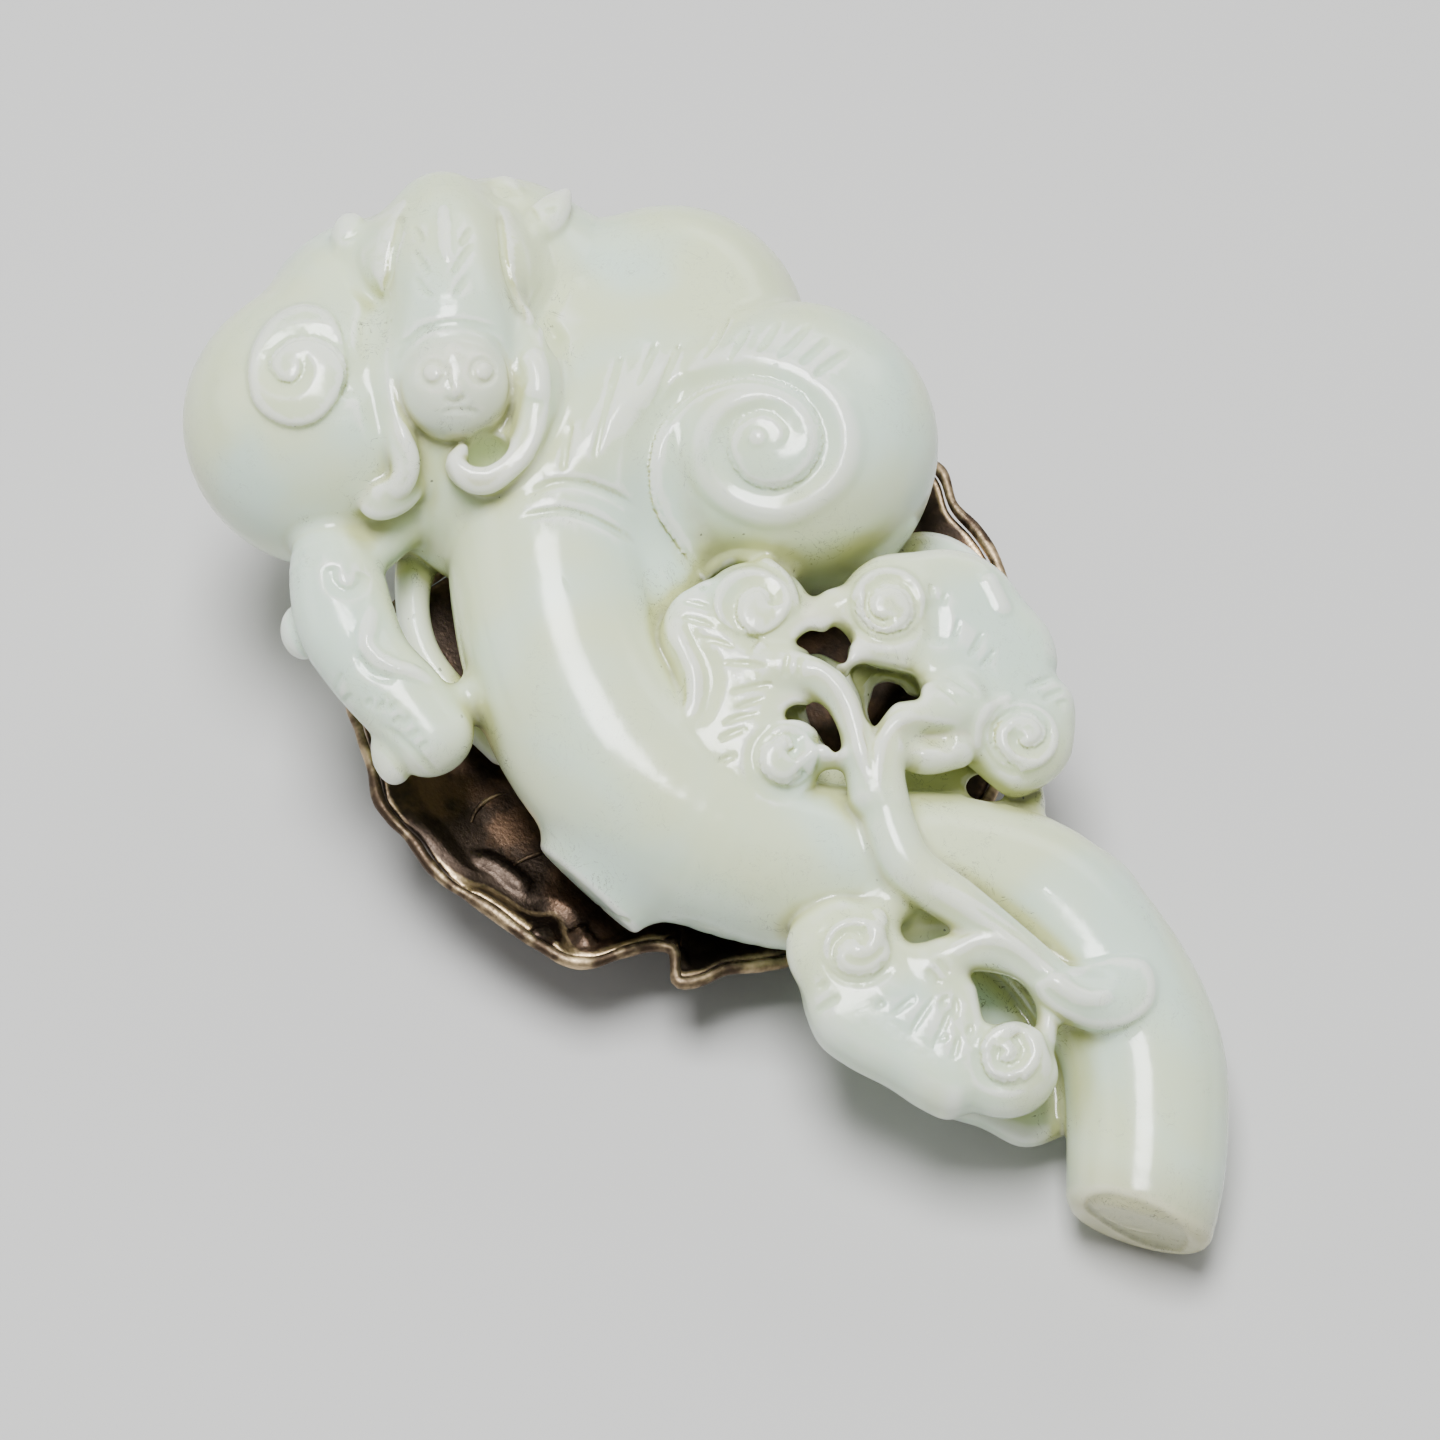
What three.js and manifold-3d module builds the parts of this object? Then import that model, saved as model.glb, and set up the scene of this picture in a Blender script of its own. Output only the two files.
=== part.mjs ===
// A pale jade carving of a lingzhi fungus with a bat on its cap, lying on a bronze leaf.
// Millimetres. X runs along the carving from cap to cut stem end, Y across it, Z up.
// The jade is laid out level in its own frame (u along, v across, w up) and then tilted,
// because the cap rides on the leaf while the stem end comes down to the ground.

import * as THREE from 'three';
import { mergeVertices } from 'three/addons/utils/BufferGeometryUtils.js';
import Module from 'manifold-3d';

const wasm = await Module();
wasm.setup();

// Pose of the jade
const TILT = THREE.MathUtils.degToRad(9);
const HALF_SPAN = 57;
const LIFT = HALF_SPAN * Math.sin(TILT);

// Meshing
const WELD = 1e-5;
const TURN = 2 * Math.PI;
const QUARTER = Math.PI / 2;
const UP = new THREE.Vector3(0, 0, 1);
const NEARLY_PARALLEL = 0.01;
const CAP_STEPS = 2;

// How finely each form is faceted: sides round a limb, pace along it, steps in its ends
const FACETS = {
  stem: { sides: 14, pace: 4.7 },
  stub: { sides: 10, pace: 9 },
  collar: { sides: 14, pace: 9, caps: 1 },
  lip: { sides: 5, pace: 3.2 },
  groove: { sides: 3, pace: 2.6, caps: 1 },
  back: { sides: 10 },
  leftWing: { sides: 6, pace: 3, caps: 1 },
  rightWing: { sides: 6, pace: 2.4, caps: 1 },
  branch: { sides: 6, pace: 3.8, caps: 1 },
  bridge: { sides: 5, pace: 6, caps: 1 },
  bud: { sides: 9, pace: 3.6 },
  ridge: { sides: 4, pace: 3.6, caps: 1 },
  twig: { sides: 5, pace: 5, caps: 1 },
};

// The same for balls, as [segments around, segments down]
const BALL_FACETS = {
  rightBall: [22, 12],
  leftBulb: [20, 10],
  neck: [10, 7],
  rump: [14, 7],
  head: [12, 8],
  eye: [7, 4],
  nose: [6, 4],
  ear: [6, 5],
  bead: [8, 6],
  boss: [12, 8],
  scrollEye: [8, 5],
};
const DISC_SIDES = 12;
const SCROLL_SIDES = 10;
const SPIRAL_STATIONS = 8;

// Great cap: a lobed cushion, each lobe as [u, v, radius], under two balls,
// each ball as [u, v, w, along, across, up]
const CAP_LOBES = [
  [-33, 3, 15.5],
  [-18.4, 20.4, 12.6],
  [-34.4, 19.6, 12.6],
  [-46.4, 8.6, 11.8],
  [-48.8, -2.6, 11.6],
  [-44, -11.4, 12.6],
];
const CAP_HUB = [-33.5, 5];
const CAP_TOP = 18.8;
const CAP_THICK = 17.6;
const CAP_EDGE = 8.6;
const CAP_CROWN = 1.6;
const CAP_STATIONS = 36;
const CAP_EDGE_STEPS = 3;
const CAP_RIGHT_BALL = [-17.6, 20.4, 12.8, 13.4, 13.4, 12];
const CAP_NECK_BALL = [-24.6, 9.4, 12, 9, 9, 8.6];
const CAP_LEFT_BULB = [-43.9, -11.8, 11.6, 13, 12.8, 11.2];

// Scrolls on the two balls of the cap, each centre given as [u, v]
const BIG_SCROLL_AT = [-14.9, 13.9];
const BIG_SCROLL_CREST = 6.9;
const BIG_SCROLL_LIP = 1.6;
const BIG_SCROLL_START = 3.7;
const BIG_SCROLL_TURNS = 1.2;
const BIG_SCROLL_GROOVE = 1;
const BIG_SCROLL_GAP = 3.52;
const BIG_SCROLL_EYE = 2.2;
const SMALL_SCROLL_AT = [-44.9, -14.1];
const SMALL_SCROLL_RADIUS = 4.6;
const SMALL_SCROLL_THICK = 2.4;
const SMALL_SCROLL_RISE = 0.7;
const SMALL_SCROLL_START = 1.2;
const SMALL_SCROLL_SHARE = 0.6;

// Main stem, each station as [u, v, w, half width, half height]
const STEM = [
  [-31, 5, 12.2, 8.6, 8.2],
  [-28.1, 2.1, 12, 9.1, 8.5],
  [-24.6, -1.4, 11.5, 9.2, 8.6],
  [-18.2, -5.7, 11, 9.1, 8.6],
  [-11, -8.8, 10.5, 9.1, 8.5],
  [-2.8, -10, 10, 9, 8.4],
  [5.1, -8.3, 9.5, 8.6, 8.1],
  [12.4, -4.1, 9, 7.6, 7.5],
  [17.6, 1.8, 8.5, 7.1, 7.1],
  [22.3, 8.2, 8, 7, 6.9],
  [28.4, 12.2, 7.8, 7.1, 6.8],
  [36, 12.7, 7.5, 7.1, 6.8],
  [43.5, 10.9, 7.2, 7, 6.7],
  [49.3, 6.8, 6.6, 6.8, 6.5],
  [53.4, 2.9, 6, 6.4, 6.3],
  [54, 2.1, 5.8, 6.3, 6.2],
];
const STEM_END_EDGE = 2.2;
const STEM_END_FACE = [55.2, 1, 5.9];
const STEM_END_NORMAL = [0.566, -0.825, 0.05];
const STEM_END_RING = [4.7, 3.7];
const STEM_END_SINK = 0.35;

// Cut-off side twig and small boss on the stem
const STUB_ROOT = [3.4, -11, 8.6];
const STUB_FACE = [4.6, -19, 6.6];
const STUB_SIZE = [5.6, 3.1];
const STUB_EDGE = 0.7;
const BOSS = [30.6, 17.6, 8.4, 3, 2.4, 2.2];

// Narrow collar round the neck, between two places along u
const COLLAR = [-23, -20.4];
const COLLAR_RISE = 0.4;
const COLLAR_EDGE = 0.35;

// Bat: back, haunches, head, face, wings, ears and tail leaf
const BAT_BACK = [
  [-52.2, 6.2, 18.6, 4.2, 4],
  [-49.2, 4.6, 19.8, 4.3, 4.2],
  [-46.2, 2.6, 20.8, 4.6, 4.4],
  [-42, 0, 21.2, 5.2, 4.4],
  [-39, -2, 21.4, 5.4, 4],
];
const BAT_RUMP = [-47.2, 3.2, 16.6, 7.6, 8.9, 6.8];
const BAT_YAW = Math.atan2(-0.503, 0.863);
const BAT_HEAD = [-35.6, -4.3, 22.2, 4.9, 4.9, 4.2];
const BAT_EYES = [
  [-35.8, -6.4, 25.3, 1.25],
  [-33.8, -2.8, 25.3, 1.15],
];
const BAT_EYE_FLATNESS = 0.7;
const BAT_NOSE = [-33, -5.6, 25.8, 0.9, 0.9, 0.9];
const BAT_WING_LEFT = [
  [-47.4, -4.8, 20.4, 1.7, 2],
  [-42.9, -7.3, 20.8, 1.7, 2],
  [-38.5, -9.8, 20.6, 1.8, 2],
  [-34.6, -11.5, 20, 1.7, 2],
  [-31.9, -11.8, 19.2, 1.5, 1.9],
  [-30.2, -13.4, 18.4, 1.4, 1.8],
  [-30.8, -15.1, 18, 1.2, 1.6],
];
const BAT_WING_RIGHT = [
  [-38.4, 6.6, 19.6, 2.6, 2.4],
  [-34.3, 4.2, 20.4, 2.4, 2.3],
  [-30.8, 1.3, 20.4, 2, 2.2],
  [-28.4, -1.6, 20, 1.7, 2.2],
  [-26.9, -4.5, 19.6, 1.6, 2.1],
  [-26.4, -7.2, 19.2, 1.5, 2],
  [-27.2, -9, 19, 1.4, 1.9],
  [-28.8, -9.1, 19, 1.3, 1.8],
  [-29.8, -7.6, 19.2, 1, 1.6],
];
const BAT_EARS = [
  [-54.6, -1.4, 16, 2.1, 2, 2.2],
  [-51.2, 12.2, 16.6, 2, 1.7, 2],
  [-47.4, 14.8, 16.4, 2.5, 1.8, 2.4],
];

// Branch of small heads on the stem crest
const BRANCH = [
  [39.4, 12.4, 12.4, 1.9, 1.5],
  [40.2, 9.8, 12.7, 2.1, 1.6],
  [38.6, 7.4, 13, 2, 1.7],
  [36, 6, 13.2, 1.9, 1.8],
  [32.8, 5.6, 13.6, 2, 1.9],
  [26, 3.8, 14.6, 2.1, 2],
  [20.7, 2.1, 15.6, 2.2, 2],
  [15.5, 3.7, 16.2, 2.1, 1.9],
  [12.6, 5.1, 16.5, 1.8, 1.8],
];
const FORK_LEFT = [
  [13.4, 4.6, 16.4, 1.5, 1.8],
  [8.5, 6.7, 17, 1.4, 1.7],
  [5, 7.5, 17.3, 1.4, 1.7],
  [2.3, 6.9, 17.4, 1.6, 1.7],
  [0.5, 5, 17.2, 1.9, 1.7],
];
const FORK_RIGHT = [
  [14.8, 4.3, 16.2, 1.5, 1.8],
  [12.4, 6.8, 16.7, 1.4, 1.7],
  [11.3, 9.8, 16.9, 1.6, 1.7],
  [11.7, 13.1, 16.8, 1.9, 1.7],
  [11.6, 16.2, 16.2, 2.3, 1.7],
];
const FORK_LOWER = [
  [37.7, 6.3, 13.2, 1.4, 1.5],
  [34, 5.4, 13.4, 1.5, 1.6],
  [31, 3.8, 13.6, 1.5, 1.7],
  [29.2, 1.6, 13.7, 1.7, 1.7],
  [28.4, -1.4, 13.4, 2.1, 1.7],
];

// Small heads. Rim points run round the hub as [u, v]; scrolls are [u, v, w, radius, first angle].
const HEAD_LEFT = {
  hub: [-0.6, 0.4],
  rim: [
    [-10, 3.4], [-10.2, 1], [-9.2, -1.2], [-7.4, -2.8], [-5, -3.4], [-2.6, -4.5], [0.2, -6.2],
    [3.1, -6.8], [6.6, -5.8], [9.4, -3.2], [9.6, 0.6], [6, 3.6], [2.4, 5.8], [0.4, 7.4],
    [-4, 9.4], [-8.4, 7.6],
  ],
  top: 17.6,
  thick: 4.6,
  lean: [-0.04, 0.05],
  scrolls: [
    [-5.4, 6.2, 17.4, 4.9, 3.4],
    [6.6, -1.4, 17, 4, -0.6],
  ],
};
const HEAD_RIGHT = {
  hub: [10, 18.6],
  rim: [
    [-1.8, 21.2], [-0.6, 23.8], [1.4, 25.9], [4, 26.9], [7, 26.9], [10, 27.1], [12.7, 26.1],
    [14, 24.9], [16, 25], [18, 23.8], [20.2, 21.2], [20.9, 18.2], [20.2, 15], [16.4, 13.6],
    [12.6, 12.8], [7.6, 13.4], [3.6, 11.4], [-0.8, 12.4], [-3.2, 16.8],
  ],
  top: 16.4,
  thick: 4.8,
  lean: [-0.14, -0.1],
  scrolls: [
    [1.1, 16.4, 17.6, 4.7, 2.2],
    [16.9, 18.4, 15.4, 4.3, 0.9],
  ],
};
const HEAD_LOWER = {
  hub: [31.2, -4.6],
  rim: [
    [18.8, -6.8], [20.2, -9.2], [22.6, -10.4], [25.1, -11.6], [27.8, -12.2], [30.7, -11.4],
    [34.1, -9.8], [36.9, -8.8], [39.1, -7.5], [40, -5.2], [42, -3], [42.8, -0.8], [42, 1.6],
    [38.8, 2.6], [35, 0.4], [30.8, 0.8], [26.6, -1.2], [22.6, -2], [19.2, -3.8],
  ],
  top: 14,
  thick: 4.6,
  lean: [-0.07, 0.1],
  scrolls: [
    [22.7, -6.2, 14.2, 4.6, 2.6],
    [38.6, -1.6, 13.4, 4.1, -0.2],
  ],
};
const HEAD_STATIONS = 24;
const HEAD_EDGE = 1.5;
const HEAD_CROWN = 0.8;
const SCROLL_RISE = 0.9;
const SCROLL_DOME = 0.25;
const SCROLL_SHOULDER = 1.1;
const SCROLL_SHOULDER_SHARE = 0.3;
const SCROLL_GROOVE = 0.8;
const SCROLL_GROOVE_SHARE = 0.72;
const SCROLL_GROOVE_END = 0.5;
const SCROLL_TURNS = 1.2;
const SCROLL_TAPER = 0.35;

// Openings pierced through the heads as [u, v, along, across]
const WINDOWS = [
  [7.9, 3.9, 1.3, 1.6],
  [34.7, 1.9, 2, 1.7],
];
const WINDOW_DEPTH = 14;

// Bridges between neighbouring heads and the cap
const BRIDGES = [
  [[-1.2, 8.8, 16.2, 1.6, 1.6], [-1.6, 12, 16, 1.8, 1.7]],
  [[-6, 8.4, 13.4, 1.8, 1.8], [-9, 11.4, 13, 2, 2]],
  [[22.8, -3.2, 13, 1.7, 1.6], [21.4, 2.4, 13.2, 1.7, 1.6]],
];

// Side bud seen from its edge
const BUD = [
  [-33.2, -19, 12.2, 3.4, 3.2],
  [-30.2, -20.6, 12.4, 4.1, 3.5],
  [-26, -22.4, 12.2, 4.3, 3.5],
  [-21.6, -23, 12, 3.9, 3.5],
  [-17.2, -22.6, 11.8, 3.9, 3.4],
  [-13.2, -22.4, 11.4, 3.7, 3.2],
];
const BUD_RIDGE = [
  [-30.4, -17.6, 14.2, 1, 0.9],
  [-26.6, -19.4, 14.8, 1.1, 1],
  [-22.4, -22.4, 14.8, 1.1, 1],
  [-18.6, -21.8, 14.6, 1.1, 1],
  [-13.6, -20.6, 13.6, 1, 0.9],
];
const BUD_BEADS = [
  [-28.6, -25.2, 10, 2.6, 2, 2],
  [-14.8, -25.4, 10, 3.2, 1.9, 2.2],
];
const BUD_TIES = [
  [[-30.6, -17, 12, 2, 2.2], [-32.2, -12, 12, 2.6, 2.6]],
  [[-15, -20, 11, 1.8, 2], [-14, -15, 10.5, 2, 2.2]],
];

// Growth on the underside, plainer, as limbs and scalloped plates
const UNDER_TWIGS = [
  [[-33, -9, 5.2, 2.4, 1.9], [-28.6, -13.6, 5, 1.6, 1.6], [-23.6, -16.2, 4.8, 1.5, 1.5],
    [-18, -16.6, 4.6, 1.7, 1.6], [-11.6, -15.4, 4.6, 2.2, 1.7]],
  [[1, 3, 5, 2.2, 1.8], [3.4, 10, 5, 1.8, 1.6], [3, 17, 5, 1.8, 1.6], [0, 24, 5, 2.4, 1.8]],
  [[16, 8, 4.8, 2, 1.7], [16.8, 13, 4.8, 1.6, 1.5], [15.6, 18, 4.8, 2, 1.7]],
];
const UNDER_HEADS = [
  {
    hub: [-2, 27],
    rim: [[-7.4, 26.6], [-5.4, 29.6], [-1.4, 31], [3.4, 30], [5.8, 26], [3.4, 22.6],
      [-1, 21.6], [-5.4, 22.6]],
    top: 6.6, thick: 3, lean: [0, 0],
  },
  {
    hub: [37, 2.4],
    rim: [[33, -4.4], [37, -5.2], [40.2, -3.2], [43.6, -1.4], [44.8, 1.6], [44.6, 6],
      [40, 8], [34, 7.6], [31.4, 2]],
    top: 4.6, thick: 3.2, lean: [0, 0],
  },
  {
    hub: [1.6, -1.4],
    rim: [[-4.6, -2.6], [-1, -6], [4, -6.6], [8.6, -3.4], [8.6, 1.6], [4.4, 5.4], [-1, 6.4],
      [-5, 3]],
    top: 6.6, thick: 3, lean: [0, 0],
  },
];
const UNDER_STATIONS = 12;
const UNDER_EDGE = 1.1;
const UNDER_CROWN = 0.4;

// Bronze leaf. Rim stations run round the middle as [u, v, crest height].
const LEAF_MIDDLE = [-4, 3];
const LEAF_RIM = [
  [-24.4, -23.2, 3], [-20.4, -25.4, 3.4], [-17, -26, 3.5], [-13, -27.4, 3.6], [-9.4, -27.6, 3.6],
  [-5.5, -27.4, 3.4], [-2, -26.4, 3.6], [2.1, -25.1, 3.6], [5.8, -23.8, 3.4], [8.6, -22.4, 3.5],
  [10, -19.4, 3.2], [11.6, -15.4, 3.1], [15.6, -16.4, 3.4], [16.6, -12.4, 3.2],
  [17.6, -8.4, 2.4], [18.6, -3, 0.8], [19, 4, 0.8], [18.4, 11, 0.8], [16.4, 18, 1.6],
  [12.6, 24, 2.6], [7.6, 28.4, 3.2], [2.2, 31.4, 3.4], [-3.6, 32.6, 3.5], [-8, 33.4, 3.5],
  [-12.6, 35.4, 3.4], [-18.6, 32.6, 2.2], [-24, 26, 0.8], [-27.6, 16, 0.8], [-29.4, 5, 0.8],
  [-30.6, -6, 0.8], [-29.4, -16, 1.8],
];
const LEAF_STATIONS = 48;
const LEAF_FLOOR = 0.45;

// Leaf section from the middle out over the rim and back, as
// [share of the way to the rim, extra outward, share of crest height, drop below floor]
const LEAF_SECTION = [
  [0.34, 0, 0, 0],
  [0.66, 0, 0.03, 0],
  [0.86, 0, 0.3, 0],
  [1, -1.4, 0.92, 0],
  [1, -0.6, 1.04, 0],
  [1, 0.1, 0.9, 0],
  [1, 0.3, 0.6, 0.4],
  [1, -0.6, 0.4, 1],
  [0.88, 0, 0.1, 1.5],
  [0.5, 0, 0, 1.7],
];
const LEAF_THICK = 1.7;
const LEAF_UNDER_SHARE = 0.8;
const LEAF_UNDER_DEPTH = 60;
const FOOT_CENTRE = [-5, 3];
const FOOT_AXES = [13, 19];
const FOOT_WALL = 2.2;
const FOOT_TOP = 13;
const FOOT_SEGMENTS = 16;

// Turns any closed geometry into a solid for joining and cutting.
function toSolid(geometry) {
  const bare = geometry.clone();
  bare.deleteAttribute('normal');
  bare.deleteAttribute('uv');
  const welded = mergeVertices(bare, WELD);
  return new wasm.Manifold(new wasm.Mesh({
    numProp: 3,
    vertProperties: new Float32Array(welded.attributes.position.array),
    triVerts: new Uint32Array(welded.index.array),
  }));
}

// Turns a solid back into a geometry.
function toGeometry(solid) {
  const mesh = solid.getMesh();
  const geometry = new THREE.BufferGeometry();
  geometry.setAttribute('position', new THREE.BufferAttribute(mesh.vertProperties, 3));
  geometry.setIndex(new THREE.BufferAttribute(mesh.triVerts, 1));
  geometry.computeVertexNormals();
  return geometry;
}

function unite(solids) {
  return solids.reduce((whole, piece) => whole.add(piece));
}

// Closes a row of equal rings with a pole at each end and faces it outward.
function skin(rings, firstPole, lastPole) {
  const count = rings[0].length;
  const points = [firstPole, ...rings.flat(), lastPole];
  const last = points.length - 1;
  const faces = [];
  for (let i = 0; i < count; i += 1) {
    const j = (i + 1) % count;
    faces.push([0, 1 + j, 1 + i]);
    for (let ring = 0; ring < rings.length - 1; ring += 1) {
      const near = 1 + ring * count;
      const far = near + count;
      faces.push([near + i, near + j, far + j]);
      faces.push([near + i, far + j, far + i]);
    }
    const end = 1 + (rings.length - 1) * count;
    faces.push([last, end + i, end + j]);
  }
  const volume = faces.reduce((sum, [a, b, c]) => {
    const normal = new THREE.Vector3().crossVectors(points[b], points[c]);
    return sum + points[a].dot(normal);
  }, 0);
  const facing = volume > 0 ? faces : faces.map(([a, b, c]) => [a, c, b]);
  const geometry = new THREE.BufferGeometry().setFromPoints(points);
  geometry.setIndex(facing.flat());
  return geometry;
}

// A curved limb through stations [u, v, w, half width, half height] with rounded ends.
function limb(stations, { sides = 8, pace = 3, edge = null, caps = CAP_STEPS } = {}) {
  const middles = stations.map(([u, v, w]) => new THREE.Vector3(u, v, w));
  const halves = stations.map(([, , , wide, tall]) => new THREE.Vector3(wide, tall, 0));
  const path = new THREE.CatmullRomCurve3(middles, false, 'centripetal');
  const size = new THREE.CatmullRomCurve3(halves, false, 'catmullrom', 0.5);
  const spans = Math.max(2, Math.round(path.getLength() / pace));
  const ring = (middle, tangent, wide, tall) => {
    const side = new THREE.Vector3().crossVectors(tangent, UP);
    if (side.lengthSq() < NEARLY_PARALLEL) {
      side.set(1, 0, 0);
    }
    side.normalize();
    const rise = new THREE.Vector3().crossVectors(side, tangent).normalize();
    return Array.from({ length: sides }, (_, i) => {
      const angle = TURN * (i + 0.5) / sides;
      return middle.clone()
        .addScaledVector(side, wide * Math.cos(angle))
        .addScaledVector(rise, tall * Math.sin(angle));
    });
  };
  const rounding = (sign) => {
    const at = sign < 0 ? 0 : 1;
    const middle = path.getPoint(at);
    const tangent = path.getTangent(at);
    const half = halves[sign < 0 ? 0 : halves.length - 1];
    const reach = edge ?? Math.min(half.x, half.y);
    const rings = [];
    for (let step = 1; step <= caps; step += 1) {
      const angle = QUARTER * step / (edge === null ? caps + 1 : caps);
      const inset = reach * (1 - Math.cos(angle));
      const centre = middle.clone().addScaledVector(tangent, sign * reach * Math.sin(angle));
      rings.push(ring(centre, tangent, half.x - inset, half.y - inset));
    }
    return { rings, pole: middle.clone().addScaledVector(tangent, sign * reach) };
  };
  const start = rounding(-1);
  const finish = rounding(1);
  const body = [];
  for (let i = 0; i <= spans; i += 1) {
    const t = i / spans;
    const along = path.getUtoTmapping(t);
    const half = size.getPoint(along);
    body.push(ring(path.getPoint(along), path.getTangent(along), half.x, half.y));
  }
  return toSolid(skin([...start.rings.reverse(), ...body, ...finish.rings],
    start.pole, finish.pole));
}

// A stretched ball [u, v, w, along, across, up] turned about the upright axis.
function ball([u, v, w, along, across, up], [around, down], yaw = 0) {
  const geometry = new THREE.SphereGeometry(1, around, down);
  geometry.rotateX(QUARTER);
  geometry.scale(along, across, up);
  geometry.rotateZ(yaw);
  geometry.translate(u, v, w);
  return toSolid(geometry);
}

// A closed rim as far out from the hub as the furthest of several round lobes.
function lobedRim(hub, lobes, count) {
  return Array.from({ length: count }, (_, i) => {
    const angle = TURN * i / count;
    const ray = new THREE.Vector2(Math.cos(angle), Math.sin(angle));
    const reach = Math.max(...lobes.map(([u, v, radius]) => {
      const out = new THREE.Vector2(u - hub[0], v - hub[1]);
      const along = out.dot(ray);
      const miss = radius * radius - out.lengthSq() + along * along;
      return miss > 0 ? along + Math.sqrt(miss) : 0;
    }));
    return [hub[0] + ray.x * reach, hub[1] + ray.y * reach];
  });
}

// Evenly spaced points on a smooth closed line through rim points.
function smoothRim(rim, count) {
  const outline = new THREE.CatmullRomCurve3(
    rim.map(([u, v]) => new THREE.Vector3(u, v, 0)), true, 'centripetal');
  return outline.getSpacedPoints(count).slice(0, count).map(({ x, y }) => [x, y]);
}

// A cushion-shaped plate inside a closed rim, highest over its hub.
function plate({ hub, rim, top, thick, lean }, { edge, crown, steps = 2 }) {
  const half = thick / 2;
  const height = (u, v) => top - half + lean[0] * (u - hub[0]) + lean[1] * (v - hub[1]);
  const reach = rim.reduce((sum, [u, v]) => (
    sum + Math.hypot(u - hub[0], v - hub[1]) / rim.length), 0);
  const ringAt = (inset, lift, swell) => rim.map(([rimU, rimV]) => {
    const share = 1 - inset / reach;
    const u = hub[0] + (rimU - hub[0]) * share;
    const v = hub[1] + (rimV - hub[1]) * share;
    return new THREE.Vector3(u, v, height(u, v) + lift + swell * (1 - share * share));
  });
  const rings = [];
  for (let step = 1 - steps; step <= steps; step += 1) {
    const angle = QUARTER * step / steps;
    const inset = edge * (1 - Math.cos(angle));
    rings.push(ringAt(inset, half * Math.sin(angle), step > 0 ? crown : 0));
  }
  const middle = height(hub[0], hub[1]);
  return toSolid(skin(rings, new THREE.Vector3(hub[0], hub[1], middle - half),
    new THREE.Vector3(hub[0], hub[1], middle + half + crown)));
}

// A raised round boss with a soft shoulder, standing on the place a matrix sets.
function boss(place, radius, thick, around = SCROLL_SIDES) {
  const shoulder = Math.min(SCROLL_SHOULDER, radius * SCROLL_SHOULDER_SHARE);
  const profile = [
    new THREE.Vector2(0, -thick),
    new THREE.Vector2(radius, -thick),
    new THREE.Vector2(radius, -shoulder),
    new THREE.Vector2(radius - shoulder, 0),
    new THREE.Vector2(0, SCROLL_DOME),
  ];
  const geometry = new THREE.LatheGeometry(profile, around);
  geometry.rotateX(QUARTER);
  geometry.applyMatrix4(place);
  return toSolid(geometry);
}

// Stations of a spiral running inward on a curved surface at the place a matrix sets.
function spiralStations(place, outer, inner, turns, first, size, bend = Infinity) {
  const count = Math.round(turns * SPIRAL_STATIONS);
  return Array.from({ length: count + 1 }, (_, i) => {
    const share = i / count;
    const radius = outer + (inner - outer) * share;
    const angle = first - TURN * turns * share;
    const half = size * (1 - SCROLL_TAPER * share);
    const point = new THREE.Vector3(radius * Math.cos(angle), radius * Math.sin(angle),
      -radius * radius / (2 * bend)).applyMatrix4(place);
    return [...point.toArray(), half, half];
  });
}

// A place with its third axis along a normal, its first axis level.
function facing(point, normal) {
  const matrix = new THREE.Matrix4();
  const along = new THREE.Vector3(...normal).normalize();
  const across = new THREE.Vector3().crossVectors(UP, along);
  if (across.lengthSq() < NEARLY_PARALLEL) {
    across.set(1, 0, 0);
  }
  across.normalize();
  const rise = new THREE.Vector3().crossVectors(along, across);
  matrix.makeBasis(across, rise, along);
  matrix.setPosition(...point);
  return matrix;
}

// The place on top of a ball over [u, v], raised off its surface.
function onBall([cu, cv, cw, along, across, up], [u, v], raise) {
  const x = (u - cu) / along;
  const y = (v - cv) / across;
  const z = Math.sqrt(1 - x * x - y * y);
  const normal = new THREE.Vector3(x / along, y / across, z / up).normalize();
  const point = new THREE.Vector3(u, v, cw + up * z).addScaledVector(normal, raise);
  return facing(point.toArray(), normal.toArray());
}

// A small fungus head: cushion plate, two bosses and their spiral grooves.
function lingzhiHead(head) {
  const rim = smoothRim(head.rim, HEAD_STATIONS);
  const cushion = plate({ ...head, rim }, { edge: HEAD_EDGE, crown: HEAD_CROWN });
  const bosses = head.scrolls.map(([u, v, w, radius]) => (
    boss(facing([u, v, w + SCROLL_RISE], [0, 0, 1]), radius, head.thick)));
  const grooves = head.scrolls.map(([u, v, w, radius, first]) => {
    const place = facing([u, v, w + SCROLL_RISE + SCROLL_DOME], [0, 0, 1]);
    const stations = spiralStations(place, radius * SCROLL_GROOVE_SHARE, SCROLL_GROOVE_END,
      SCROLL_TURNS, first, SCROLL_GROOVE);
    return limb(stations, FACETS.groove);
  });
  return { solid: unite([cushion, ...bosses]), grooves };
}

function discAt(point, normal, [wide, tall], depth) {
  const geometry = new THREE.CylinderGeometry(1, 1, depth, DISC_SIDES);
  geometry.rotateX(QUARTER);
  geometry.scale(wide, tall, 1);
  geometry.applyMatrix4(facing(point, normal));
  return toSolid(geometry);
}

// Stations of the stem between two places along u, a little larger all round.
function stemBand([from, to], raise) {
  const before = STEM.findLastIndex(([u]) => u < from);
  return [from, to].map((at) => {
    const [near, far] = [STEM[before], STEM[before + 1]];
    const share = (at - near[0]) / (far[0] - near[0]);
    const station = near.map((value, k) => value + (far[k] - value) * share);
    return station.map((value, k) => (k > 2 ? value + raise : value));
  });
}

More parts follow.
